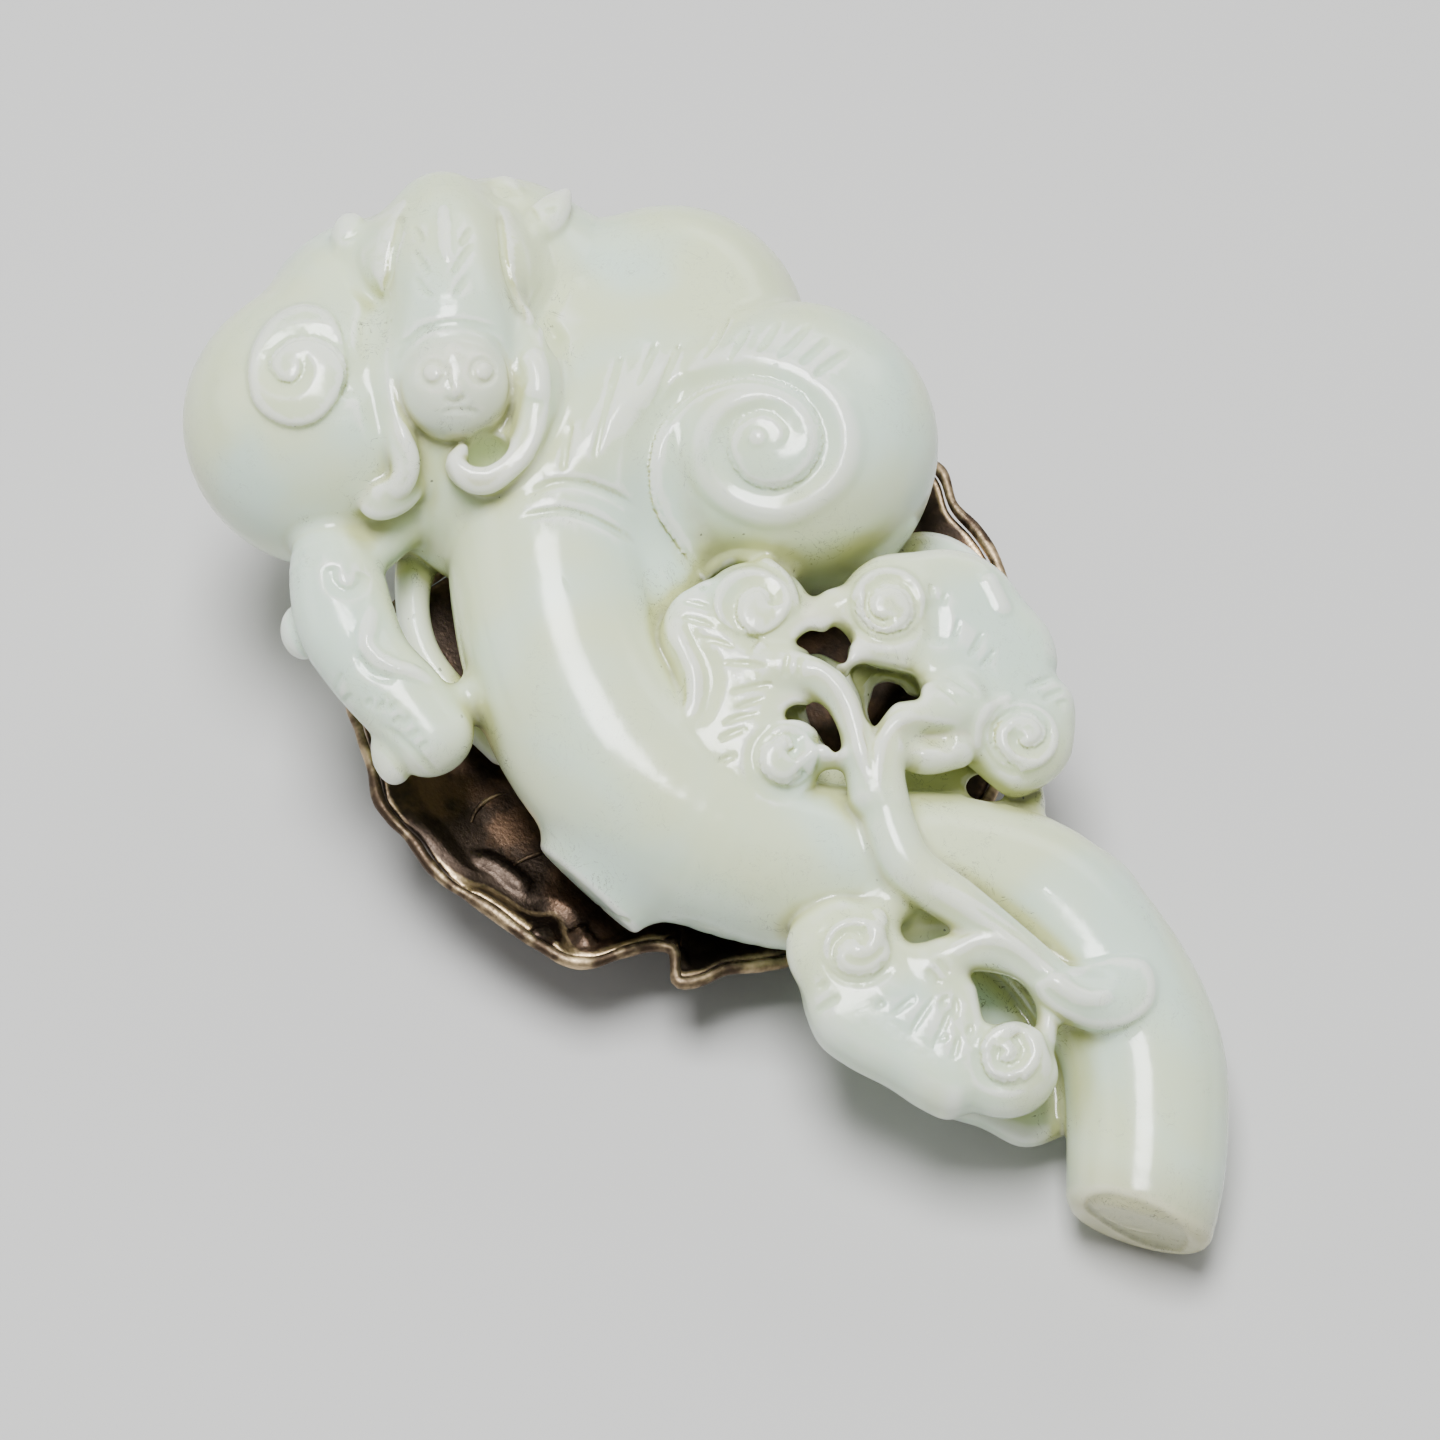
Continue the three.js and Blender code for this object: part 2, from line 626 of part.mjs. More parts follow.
// Great cap with its two scrolls
const capRim = lobedRim(CAP_HUB, CAP_LOBES, CAP_STATIONS);
const capBody = plate(
  { hub: CAP_HUB, rim: capRim, top: CAP_TOP, thick: CAP_THICK, lean: [0, 0] },
  { edge: CAP_EDGE, crown: CAP_CROWN, steps: CAP_EDGE_STEPS });
const capLobes = [
  capBody,
  ball(CAP_RIGHT_BALL, BALL_FACETS.rightBall),
  ball(CAP_LEFT_BULB, BALL_FACETS.leftBulb),
  ball(CAP_NECK_BALL, BALL_FACETS.neck),
];
const bigPlace = onBall(CAP_RIGHT_BALL, BIG_SCROLL_AT, 0);
const bigBend = CAP_RIGHT_BALL[3];
const bigLip = limb(spiralStations(bigPlace, BIG_SCROLL_CREST,
  BIG_SCROLL_CREST - BIG_SCROLL_LIP, BIG_SCROLL_TURNS, BIG_SCROLL_START, BIG_SCROLL_LIP,
  bigBend), FACETS.lip);
const bigEye = ball([0, 0, 0, BIG_SCROLL_EYE, BIG_SCROLL_EYE, BIG_SCROLL_LIP],
  BALL_FACETS.scrollEye).transform(bigPlace.elements);
const bigGroove = limb(spiralStations(bigPlace, BIG_SCROLL_CREST - BIG_SCROLL_GAP,
  BIG_SCROLL_EYE, BIG_SCROLL_TURNS, BIG_SCROLL_START, BIG_SCROLL_GROOVE, bigBend),
FACETS.groove);
const smallPlace = onBall(CAP_LEFT_BULB, SMALL_SCROLL_AT, SMALL_SCROLL_RISE);
const smallBoss = boss(smallPlace, SMALL_SCROLL_RADIUS, SMALL_SCROLL_THICK);
const smallGroove = limb(spiralStations(smallPlace, SMALL_SCROLL_RADIUS * SMALL_SCROLL_SHARE,
  SCROLL_GROOVE_END, SCROLL_TURNS, SMALL_SCROLL_START, SCROLL_GROOVE), FACETS.groove);

// Stem with its flat cut end
const stemLimb = limb(STEM, { ...FACETS.stem, edge: STEM_END_EDGE });
const stub = limb([[...STUB_ROOT, ...STUB_SIZE], [...STUB_FACE, ...STUB_SIZE]],
  { ...FACETS.stub, edge: STUB_EDGE });
const collar = limb(stemBand(COLLAR, COLLAR_RISE), { ...FACETS.collar, edge: COLLAR_EDGE });
const twigBoss = ball(BOSS, BALL_FACETS.boss);
const endRecess = discAt(STEM_END_FACE, STEM_END_NORMAL, STEM_END_RING, STEM_END_SINK * 2);

// Bat
const batEyes = BAT_EYES.map(([u, v, w, radius]) => (
  ball([u, v, w, radius, radius, radius * BAT_EYE_FLATNESS], BALL_FACETS.eye)));
const bat = [
  limb(BAT_BACK, FACETS.back),
  ball(BAT_RUMP, BALL_FACETS.rump, BAT_YAW),
  ball(BAT_HEAD, BALL_FACETS.head, BAT_YAW),
  ball(BAT_NOSE, BALL_FACETS.nose),
  ...batEyes,
  limb(BAT_WING_LEFT, FACETS.leftWing),
  limb(BAT_WING_RIGHT, FACETS.rightWing),
  ...BAT_EARS.map((ear) => ball(ear, BALL_FACETS.ear, BAT_YAW)),
];

// Branch, heads and underside growth
const branch = [BRANCH, FORK_LEFT, FORK_RIGHT, FORK_LOWER].map((rows) => (
  limb(rows, FACETS.branch)));
const heads = [HEAD_LEFT, HEAD_RIGHT, HEAD_LOWER].map(lingzhiHead);
const windows = WINDOWS.map(([u, v, along, across]) => (
  discAt([u, v, HEAD_LEFT.top], [0, 0, 1], [across, along], WINDOW_DEPTH)));
const bridges = [...BRIDGES, ...BUD_TIES].map((rows) => limb(rows, FACETS.bridge));
const bud = [
  limb(BUD, FACETS.bud),
  limb(BUD_RIDGE, FACETS.ridge),
  ...BUD_BEADS.map((bead) => ball(bead, BALL_FACETS.bead, BAT_YAW)),
];
const underside = [
  ...UNDER_TWIGS.map((rows) => limb(rows, FACETS.twig)),
  ...UNDER_HEADS.map((head) => plate({ ...head, rim: smoothRim(head.rim, UNDER_STATIONS) },
    { edge: UNDER_EDGE, crown: UNDER_CROWN })),
];

// One solid of jade
const carved = unite([
  ...capLobes, bigLip, bigEye, smallBoss, stemLimb, collar, stub, twigBoss, ...bat, ...branch,
  ...heads.map((head) => head.solid), ...bridges, ...bud, ...underside,
]);
const cuts = unite([
  bigGroove, smallGroove, endRecess,
  ...heads.flatMap((head) => head.grooves), ...windows,
]);
const jadeSolid = carved.subtract(cuts);

// Bronze leaf with a rolled wavy rim, in the tilted frame of the jade
const rimCurve = new THREE.CatmullRomCurve3(
  LEAF_RIM.map(([u, v, w]) => new THREE.Vector3(u, v, w)), true, 'centripetal');
const rimPoints = rimCurve.getSpacedPoints(LEAF_STATIONS).slice(0, LEAF_STATIONS);
const leafRings = LEAF_SECTION.map(([share, outward, crest, drop]) => (
  rimPoints.map((point) => {
    const out = new THREE.Vector2(point.x - LEAF_MIDDLE[0], point.y - LEAF_MIDDLE[1]);
    const reach = out.length() * share + outward;
    out.normalize().multiplyScalar(reach);
    const rise = (point.z - LEAF_FLOOR) * crest;
    return new THREE.Vector3(LEAF_MIDDLE[0] + out.x, LEAF_MIDDLE[1] + out.y,
      LEAF_FLOOR + rise - drop);
  })));
const dish = skin(leafRings, new THREE.Vector3(...LEAF_MIDDLE, LEAF_FLOOR),
  new THREE.Vector3(...LEAF_MIDDLE, LEAF_FLOOR - LEAF_THICK));
dish.rotateY(TILT);
dish.translate(0, 0, LIFT);

// Oval foot under the leaf, flat on the ground
function footOval(inset) {
  const geometry = new THREE.CylinderGeometry(1, 1, FOOT_TOP, FOOT_SEGMENTS);
  geometry.rotateX(QUARTER);
  geometry.scale(FOOT_AXES[0] - inset, FOOT_AXES[1] - inset, 1);
  geometry.translate(FOOT_CENTRE[0], FOOT_CENTRE[1], FOOT_TOP / 2);
  return toSolid(geometry);
}
const underDish = toSolid(dish);
const underRings = [LEAF_UNDER_DEPTH, LEAF_THICK / 2].map((depth) => rimPoints.map((point) => (
  new THREE.Vector3(
    LEAF_MIDDLE[0] + (point.x - LEAF_MIDDLE[0]) * LEAF_UNDER_SHARE,
    LEAF_MIDDLE[1] + (point.y - LEAF_MIDDLE[1]) * LEAF_UNDER_SHARE,
    LEAF_FLOOR - depth))));
const underSpace = skin(underRings, new THREE.Vector3(...LEAF_MIDDLE, LEAF_FLOOR - LEAF_UNDER_DEPTH),
  new THREE.Vector3(...LEAF_MIDDLE, LEAF_FLOOR - LEAF_THICK / 2));
underSpace.rotateY(TILT);
underSpace.translate(0, 0, LIFT);
const belowDish = underDish.add(toSolid(underSpace));
const ring = footOval(0).subtract(footOval(FOOT_WALL)).intersect(belowDish);
const leafSolid = underDish.add(ring);

// Materials
const jadeMaterial = new THREE.MeshStandardMaterial({
  color: new THREE.Color(0.80, 0.86, 0.78), roughness: 0.22, metalness: 0,
});
const bronzeMaterial = new THREE.MeshStandardMaterial({
  color: new THREE.Color(0.23, 0.16, 0.1), roughness: 0.42, metalness: 0.9,
});

const jade = new THREE.Mesh(toGeometry(jadeSolid), jadeMaterial);
jade.name = 'jade_carving';
jade.rotation.y = TILT;
jade.position.z = LIFT;

const leaf = new THREE.Mesh(toGeometry(leafSolid), bronzeMaterial);
leaf.name = 'leaf_stand';

const object = new THREE.Group();
object.name = 'jade_lingzhi_on_leaf';
object.add(jade, leaf);

// The origin goes on the ground under the middle of the whole
object.updateMatrixWorld(true);
const bounds = new THREE.Box3().setFromObject(object, true);
const middle = bounds.getCenter(new THREE.Vector3());
object.position.set(-middle.x, -middle.y, -bounds.min.z);

export default object;
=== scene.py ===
"""Pale jade carving of a lingzhi fungus with a bat on its cap, lying on a bronze leaf.

The jade is sculpted as one field of distances in its own level frame, in millimetres
(u along the carving, v across it, w up), then skinned, tilted and set on the leaf.
Carved lines are drawn on a square sheet of 1440 units that stands for the camera's view,
and each is dropped along the sight lines onto the stone.
"""
from __future__ import annotations

import logging
import math
from dataclasses import dataclass, field
from enum import Enum
from typing import Protocol

import bpy
import numpy as np
from mathutils import Matrix, Vector

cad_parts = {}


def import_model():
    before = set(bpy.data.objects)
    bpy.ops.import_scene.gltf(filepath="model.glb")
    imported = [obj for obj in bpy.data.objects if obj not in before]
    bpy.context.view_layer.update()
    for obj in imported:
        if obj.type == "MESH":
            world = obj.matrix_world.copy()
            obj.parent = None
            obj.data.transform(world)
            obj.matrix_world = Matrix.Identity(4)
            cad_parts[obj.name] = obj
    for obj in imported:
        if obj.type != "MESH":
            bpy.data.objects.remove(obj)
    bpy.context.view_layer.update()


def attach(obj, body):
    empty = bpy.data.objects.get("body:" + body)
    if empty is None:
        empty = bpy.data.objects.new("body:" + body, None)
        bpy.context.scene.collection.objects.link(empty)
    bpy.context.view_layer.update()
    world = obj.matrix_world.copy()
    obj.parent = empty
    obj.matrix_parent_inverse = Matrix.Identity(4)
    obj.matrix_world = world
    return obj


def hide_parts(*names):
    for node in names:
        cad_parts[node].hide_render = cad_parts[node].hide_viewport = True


LOG = logging.getLogger("jade_on_leaf")
Array = np.ndarray
Row = tuple[float, ...]
Rows = tuple[Row, ...]
METRE = 0.001
SHEET = 1440.0
FAR = 50.0
CHUNK = 400000
PLAIN_BIAS = 1e-8


# Curves and small field functions

def smooth_line(rows: Rows | Array, spacing: float, closed: bool = False,
                place: int = 3) -> Array:
    """Run a smooth line through rows and space it evenly.

    Args:
        rows: Points, with any further columns carried along.
        spacing: Distance between the points of the result.
        closed: Whether the line returns to its start.
        place: How many leading columns are coordinates.

    Returns:
        Evenly spaced rows with the same columns.
    """
    knots = np.asarray(rows, dtype=float)
    if closed:
        knots = np.vstack([knots[-1:], knots, knots[:2]])
    else:
        knots = np.vstack([2 * knots[0] - knots[1], knots, 2 * knots[-1] - knots[-2]])
    share = np.linspace(0, 1, 12, endpoint=False)[:, None]
    runs = []
    for before, start, stop, after in zip(knots, knots[1:], knots[2:], knots[3:]):
        gaps = [max(np.linalg.norm((b - a)[:place]) ** 0.5, 1e-3)
                for a, b in ((before, start), (start, stop), (stop, after))]
        leave = ((start - before) / gaps[0] - (stop - before) / (gaps[0] + gaps[1])) * gaps[1]
        leave = leave + stop - start
        reach = ((after - stop) / gaps[2] - (after - start) / (gaps[1] + gaps[2])) * gaps[1]
        reach = reach + stop - start
        runs.append(start + leave * share
                    + (3 * (stop - start) - 2 * leave - reach) * share ** 2
                    + (2 * (start - stop) + leave + reach) * share ** 3)
    line = np.vstack(runs + [knots[-2:-1]])
    length = np.concatenate([[0], np.cumsum(np.linalg.norm(np.diff(line[:, :place], axis=0),
                                                           axis=1))])
    count = max(2, round(length[-1] / spacing) + 1)
    stops = np.linspace(0, length[-1], count)
    even = np.stack([np.interp(stops, length, column) for column in line.T], axis=1)
    return even[:-1] if closed else even


def smooth_least(first: Array, second: Array, blend: float) -> Array:
    """Return the smaller of two fields with a rounded joint of the given reach.

    Args:
        first: The one value or field.
        second: The other value or field.
        blend: How far the two melt into each other, in millimetres.

    Returns:
        The lower of the two, blended.
    """
    if np.max(blend) <= 0:
        return np.minimum(first, second)
    near = np.maximum(blend - np.abs(first - second), 0) / blend
    return np.minimum(first, second) - near * near * blend * 0.25


def smooth_most(first: Array, second: Array, blend: float) -> Array:
    """Return the larger of two fields with a rounded joint of the given reach."""
    return -smooth_least(-first, -second, blend)


def eased(values: Array, start: float, stop: float) -> Array:
    """Return a soft step from 0 at start to 1 at stop."""
    share = np.clip((values - start) / (stop - start), 0, 1)
    return share * share * (3 - 2 * share)


def segment_reach(points: Array, start: Array, stop: Array) -> tuple[Array, Array]:
    """Find the nearest place on a segment.

    Args:
        points: Places to measure from.
        start: One end of the segment.
        stop: Its other end.

    Returns:
        The offsets from the segment, and the share of the way along it.
    """
    run = stop - start
    away = points - start
    share = np.clip(away @ run / max(float(run @ run), 1e-9), 0, 1)
    return away - share[:, None] * run, share


def near_rows(points: Array, low: Array, high: Array) -> Array:
    """Return the indices of points in a box, for points sorted by their first column.

    Args:
        points: Points in rising order of u.
        low: The low corner of the box.
        high: The high corner of the box.

    Returns:
        Which rows lie in the box.
    """
    first, last = np.searchsorted(points[:, 0], (low[0], high[0]))
    part = points[first:last]
    held = ((part[:, 1] > low[1]) & (part[:, 1] < high[1])
            & (part[:, 2] > low[2]) & (part[:, 2] < high[2]))
    return np.nonzero(held)[0] + first


# Pose and view

@dataclass(frozen=True)
class Pose:
    """How the level frame of the jade lies in the frame of the whole object."""

    tilt: float = math.radians(9)
    half_span: float = 57.0
    shift: Row = (-0.945, -3.727)

    def to_row(self, flat: Array) -> Array:
        """Move points from the jade's level frame to the object's frame, in millimetres.

        Args:
            flat: Points in the flat frame, in millimetres.

        Returns:
            The points in the row frame.
        """
        lift = self.half_span * math.sin(self.tilt)
        across, up = math.cos(self.tilt), math.sin(self.tilt)
        return np.stack([flat[:, 0] * across + flat[:, 2] * up + self.shift[0],
                         flat[:, 1] + self.shift[1],
                         -flat[:, 0] * up + flat[:, 2] * across + lift], axis=1)

    def to_flat(self, row: Array, direction: bool = False) -> Array:
        """Move points or directions from the object's frame to the jade's level frame.

        Args:
            row: Points in the row frame, in millimetres.
            direction: Whether the rows are directions and not places.

        Returns:
            The points in the flat frame.
        """
        lift = self.half_span * math.sin(self.tilt)
        across, up = math.cos(self.tilt), math.sin(self.tilt)
        moved = row - (0 if direction else np.array([*self.shift, lift]))
        return np.stack([moved[:, 0] * across - moved[:, 2] * up, moved[:, 1],
                         moved[:, 0] * up + moved[:, 2] * across], axis=1)


POSE = Pose()


@dataclass(frozen=True)
class View:
    """The camera and the sheet of 1440 units that it sees."""

    place: Row = (116.46, -95.43, 247.03)
    aim: Row = (-0.945, -3.727, 17.53)
    angle: float = math.radians(26)
    sensor: float = 36.0

    def axes(self) -> tuple[Array, Array, Array]:
        """Return the unit directions right, up and ahead in the object's frame.

        Returns:
            Unit vectors to the right, up and ahead.
        """
        ahead = np.subtract(self.aim, self.place)
        ahead = ahead / np.linalg.norm(ahead)
        right = np.cross(ahead, (0, 0, 1))
        right = right / np.linalg.norm(right)
        return right, np.cross(right, ahead), ahead

    def sight(self, marks: Array) -> tuple[Array, Array]:
        """Turn marks on the sheet into sight lines in the jade's level frame.

        Args:
            marks: Rows of x to the right and y down, in sheet units.

        Returns:
            The start of the lines, and their unit directions away from the camera.
        """
        right, up, ahead = self.axes()
        focus = SHEET / 2 / math.tan(self.angle / 2)
        lines = (ahead * focus + np.outer(marks[:, 0] - SHEET / 2, right)
                 + np.outer(SHEET / 2 - marks[:, 1], up))
        lines = lines / np.linalg.norm(lines, axis=1, keepdims=True)
        start = POSE.to_flat(np.array([self.place]))
        return np.repeat(start, len(marks), axis=0), POSE.to_flat(lines, direction=True)

    def spots(self, rows: Rows) -> Rows:
        """Turn rows of x, y on the sheet and a height, with further columns, to the level frame.

        Args:
            rows: Rows of x, y and height on the sheet.

        Returns:
            Rows of u, v and w, with the rest of each row.
        """
        table = np.asarray(rows, dtype=float)
        start, ahead = self.sight(table[:, :2])
        reach = (table[:, 2] - start[:, 2]) / ahead[:, 2]
        table[:, :3] = start + ahead * reach[:, None]
        return tuple(tuple(row) for row in table)

    def marks(self, flat: Array) -> tuple[Array, Array]:
        """Return where points of the level frame fall on the sheet, and units a millimetre.

        Args:
            flat: Points in the flat frame, in millimetres.

        Returns:
            Places on the sheet, and its scale there.
        """
        right, up, ahead = self.axes()
        focus = SHEET / 2 / math.tan(self.angle / 2)
        away = POSE.to_row(flat) - np.array(self.place)
        scale = focus / (away @ ahead)
        return np.stack([SHEET / 2 + away @ right * scale,
                         SHEET / 2 - away @ up * scale], axis=1), scale

    def build(self) -> None:
        """Create the camera and make it the scene's own."""
        data = bpy.data.cameras.new("camera")
        data.sensor_fit = "HORIZONTAL"
        data.sensor_width = self.sensor
        data.lens = self.sensor / 2 / math.tan(self.angle / 2)
        data.clip_start = 0.01
        camera = bpy.data.objects.new("camera", data)
        bpy.context.scene.collection.objects.link(camera)
        camera.location = Vector(self.place) * METRE
        look = Vector(self.aim) - Vector(self.place)
        camera.rotation_euler = look.to_track_quat("-Z", "Y").to_euler()
        bpy.context.scene.camera = camera


VIEW = View()


def ring(x: float, y: float, across: float, down: float = 0.0, count: int = 12) -> Rows:
    """Return marks round an oval on the sheet.

    Args:
        x: Its middle, from the left of the sheet.
        y: Its middle, from the top of the sheet.
        across: Half of its width.
        down: Half of its height, or 0 for a circle.
        count: How many marks it has.

    Returns:
        The marks.
    """
    turns = np.linspace(0, 2 * math.pi, count, endpoint=False)
    return tuple((x + across * math.cos(turn), y + (down or across) * math.sin(turn))
                 for turn in turns)


# Forms of the field

class Form(Protocol):
    """Anything with a box and a distance that is negative inside."""

    low: Array
    high: Array

    def distance(self, points: Array) -> Array:
        """Return the distance of each point from the form's surface."""


class Ball:
    """A stretched ball, turned about the upright axis."""

    def __init__(self, row: Row, yaw: float = 0.0, power: float = 2.0) -> None:
        """Take the ball as u, v, w and its halves, and a power over 2 to flatten its top.

        Args:
            row: Its middle as u, v and w, then its three halves.
            yaw: Its turn about w, in radians.
            power: How square it is.
        """
        self.power = power
        self.middle = np.array(row[:3])
        self.halves = np.array(row[3:6])
        self.turn = np.array([[math.cos(yaw), math.sin(yaw), 0],
                              [-math.sin(yaw), math.cos(yaw), 0], [0, 0, 1]])
        reach = np.abs(self.turn.T) @ self.halves
        self.low, self.high = self.middle - reach, self.middle + reach

    def distance(self, points: Array) -> Array:
        """Return the distance of each point from the ball.

        Args:
            points: Rows of u, v and w in millimetres.

        Returns:
            Millimetres from the surface, less than 0 inside.
        """
        share = np.abs((points - self.middle) @ self.turn.T / self.halves)
        plan, rise, more = np.hypot(share[:, 0], share[:, 1]), share[:, 2], self.power - 1
        size = np.maximum((plan ** self.power + rise ** self.power) ** (1 / self.power), 1e-6)
        lean = np.linalg.norm(share[:, :2] / self.halves[:2], axis=1) / np.maximum(plan, 1e-6)
        slope = np.hypot(plan ** more * lean, rise ** more / self.halves[2])
        return (size - 1) * size ** more / np.maximum(slope, 1e-6)


class Limb:
    """A curved limb through stations, oval in section, with round or flat ends."""

    def __init__(self, rows: Rows, spacing: float = 0.0, faces: tuple[Row, ...] = (),
                 edge: float = 1.0) -> None:
        """Lay the limb out.

        Args:
            rows: Stations as u, v, w, half width and half height.
            spacing: Distance between the pieces that it is made of, or 0 to choose.
            faces: Flat cuts, each as a point and its outward normal.
            edge: How round the edge of a cut is.
        """
        thin = min(min(row[3:5]) for row in rows)
        self.line = smooth_line(rows, spacing or min(max(thin * 0.3, 0.45), 1.6))
        self.faces = [(np.array(face[:3]), np.array(face[3:]) / np.linalg.norm(face[3:]))
                      for face in faces]
        self.edge = edge
        reach = self.line[:, 3:5].max(axis=1, keepdims=True)
        self.low = (self.line[:, :3] - reach).min(axis=0)
        self.high = (self.line[:, :3] + reach).max(axis=0)

    def distance(self, points: Array) -> Array:
        """Return the distance of each point from the limb.

        Args:
            points: Rows of u, v and w in millimetres.

        Returns:
            Millimetres from the surface, less than 0 inside.
        """
        least = np.full(len(points), FAR)
        for start, stop in zip(self.line, self.line[1:]):
            pad = max(start[3:5].max(), stop[3:5].max()) + 3
            rows = near_rows(points, np.minimum(start[:3], stop[:3]) - pad,
                             np.maximum(start[:3], stop[:3]) + pad)
            if not len(rows):
                continue
            away, share = segment_reach(points[rows], start[:3], stop[:3])
            along = (stop - start)[:3] / max(np.linalg.norm((stop - start)[:3]), 1e-9)
            side = np.cross(along, (0, 0, 1))
            side = side / np.linalg.norm(side) if side @ side > 0.01 else np.array([1.0, 0, 0])
            rise = np.cross(side, along)
            halves = start[3:5] + share[:, None] * (stop - start)[3:5]
            frame = np.stack([away @ side, away @ rise, away @ along], axis=1)
            radii = np.concatenate([halves, halves.min(axis=1, keepdims=True)], axis=1)
            size = np.linalg.norm(frame / radii, axis=1)
            slope = np.linalg.norm(frame / radii ** 2, axis=1)
            found = size * (size - 1) / np.maximum(slope, 1e-6)
            least[rows] = np.minimum(least[rows], found)
        for point, normal in self.faces:
            least = smooth_most(least, (points - point) @ normal, self.edge)
        return least


class PlanLine:
    """A closed line in plan that knows how far inside or outside a place is."""

    def __init__(self, rim: Rows, step: float = 0.25, margin: float = 4.0) -> None:
        """Measure the line once on a fine grid in plan.

        Args:
            rim: Rows of u and v round it.
            step: The distance between table points.
            margin: How far the table goes past the line.
        """
        line = smooth_line(rim, 0.5, closed=True, place=2)
        self.step = step
        self.low = line.min(axis=0) - margin
        self.high = line.max(axis=0) + margin
        counts = np.ceil((self.high - self.low) / step).astype(int) + 1
        across = [self.low[k] + step * np.arange(counts[k]) for k in range(2)]
        grid = np.stack(np.meshgrid(*across, indexing="ij"), axis=-1).reshape(-1, 2)
        reach = np.full(len(grid), FAR)
        inside = np.zeros(len(grid), dtype=bool)
        for start, stop in zip(line, np.roll(line, -1, axis=0)):
            away, _ = segment_reach(grid, start, stop)
            reach = np.minimum(reach, np.linalg.norm(away, axis=1))
            if abs(stop[1] - start[1]) > 1e-9:
                crossed = (start[1] > grid[:, 1]) != (stop[1] > grid[:, 1])
                where = (start[0] + (grid[:, 1] - start[1]) / (stop[1] - start[1])
                         * (stop[0] - start[0]))
                inside ^= crossed & (grid[:, 0] < where)
        self.values = np.where(inside, -reach, reach).reshape(counts)

    def distance(self, places: Array) -> Array:
        """Return the distance in plan, negative inside the line.

        Args:
            places: Rows of u and v.

        Returns:
            Millimetres from the surface, less than 0 inside.
        """
        spots = (np.clip(places[:, :2], self.low, self.high - self.step * 1.01)
                 - self.low) / self.step
        cell = np.minimum(spots.astype(int), np.array(self.values.shape) - 2)
        part = spots - cell
        i, j = cell.T
        s, t = part.T
        grid = self.values
        return ((grid[i, j] * (1 - s) + grid[i + 1, j] * s) * (1 - t)
                + (grid[i, j + 1] * (1 - s) + grid[i + 1, j + 1] * s) * t)


class Lobes:
    """A line in plan round several overlapping discs, whose creases fade inward."""

    def __init__(self, discs: Rows, blend: float, fade: float = 1.3) -> None:
        """Take the discs as u, v and radius, and how fast the creases fade.

        Args:
            discs: Rows of u, v and radius.
            blend: How far neighbouring discs melt into each other.
            fade: How fast the discs lose each other.
        """
        self.discs = np.array(discs)
        self.blend, self.fade = blend, fade
        self.low = (self.discs[:, :2] - self.discs[:, 2:]).min(axis=0)
        self.high = (self.discs[:, :2] + self.discs[:, 2:]).max(axis=0)

    def distance(self, places: Array) -> Array:
        """Return the distance in plan, negative inside the line.

        Args:
            places: Rows of u and v.

        Returns:
            Millimetres from the surface, less than 0 inside.
        """
        reaches = [np.hypot(places[:, 0] - disc[0], places[:, 1] - disc[1]) - disc[2]
                   for disc in self.discs]
        deep = np.clip(-np.min(reaches, axis=0), 0, 12)
        blend = self.blend + self.fade * deep
        least = reaches[0]
        for reach in reaches[1:]:
            least = smooth_least(least, reach, blend)
        return least


class Cushion:
    """A cushion-shaped plate inside a line in plan, highest towards its middle."""

    def __init__(self, line: PlanLine | Lobes, hub: Row, top: float, thick: float,
                 lean: Row, edge: float, crown: float, dish: float = 0.0) -> None:
        """Lay the plate out.

        Args:
            line: Its outline in plan.
            hub: The place that top and lean are measured from, as u and v.
            top: Height of the upper side over the hub.
            thick: Thickness at the rim.
            lean: Rise of the plate along u and along v.
            edge: How round the rim is.
            crown: How far the upper side swells towards the middle.
            dish: How far in from the rim the swelling is spread, or 0 to choose.
        """
        self.line, self.hub, self.top, self.thick = line, np.array(hub), top, thick
        self.lean, self.edge, self.crown = np.array(lean), edge, crown
        reach = np.array(line.high) - np.array(line.low)
        self.dish = dish or float(reach.min()) * 0.3
        spread = thick + crown + float(np.abs(self.lean) @ reach)
        self.low = np.array([*line.low, top - spread])
        self.high = np.array([*line.high, top + crown + float(np.abs(self.lean) @ reach)])

    def distance(self, points: Array) -> Array:
        """Return the distance of each point from the plate.

        Args:
            points: Rows of u, v and w in millimetres.

        Returns:
            Millimetres from the surface, less than 0 inside.
        """
        plan = self.line.distance(points)
        deep = np.clip(-plan / self.dish, 0, 1)
        swell = self.crown * (1 - (1 - deep) ** 2)
        half = self.thick / 2
        middle = self.top - half + (points[:, :2] - self.hub) @ self.lean
        lift = points[:, 2] - middle
        level = np.where(lift > 0, lift - swell, -lift) - half
        across, upright = plan + self.edge, level + self.edge
        round_part = np.hypot(np.maximum(across, 0), np.maximum(upright, 0))
        return round_part + np.minimum(np.maximum(across, upright), 0) - self.edge


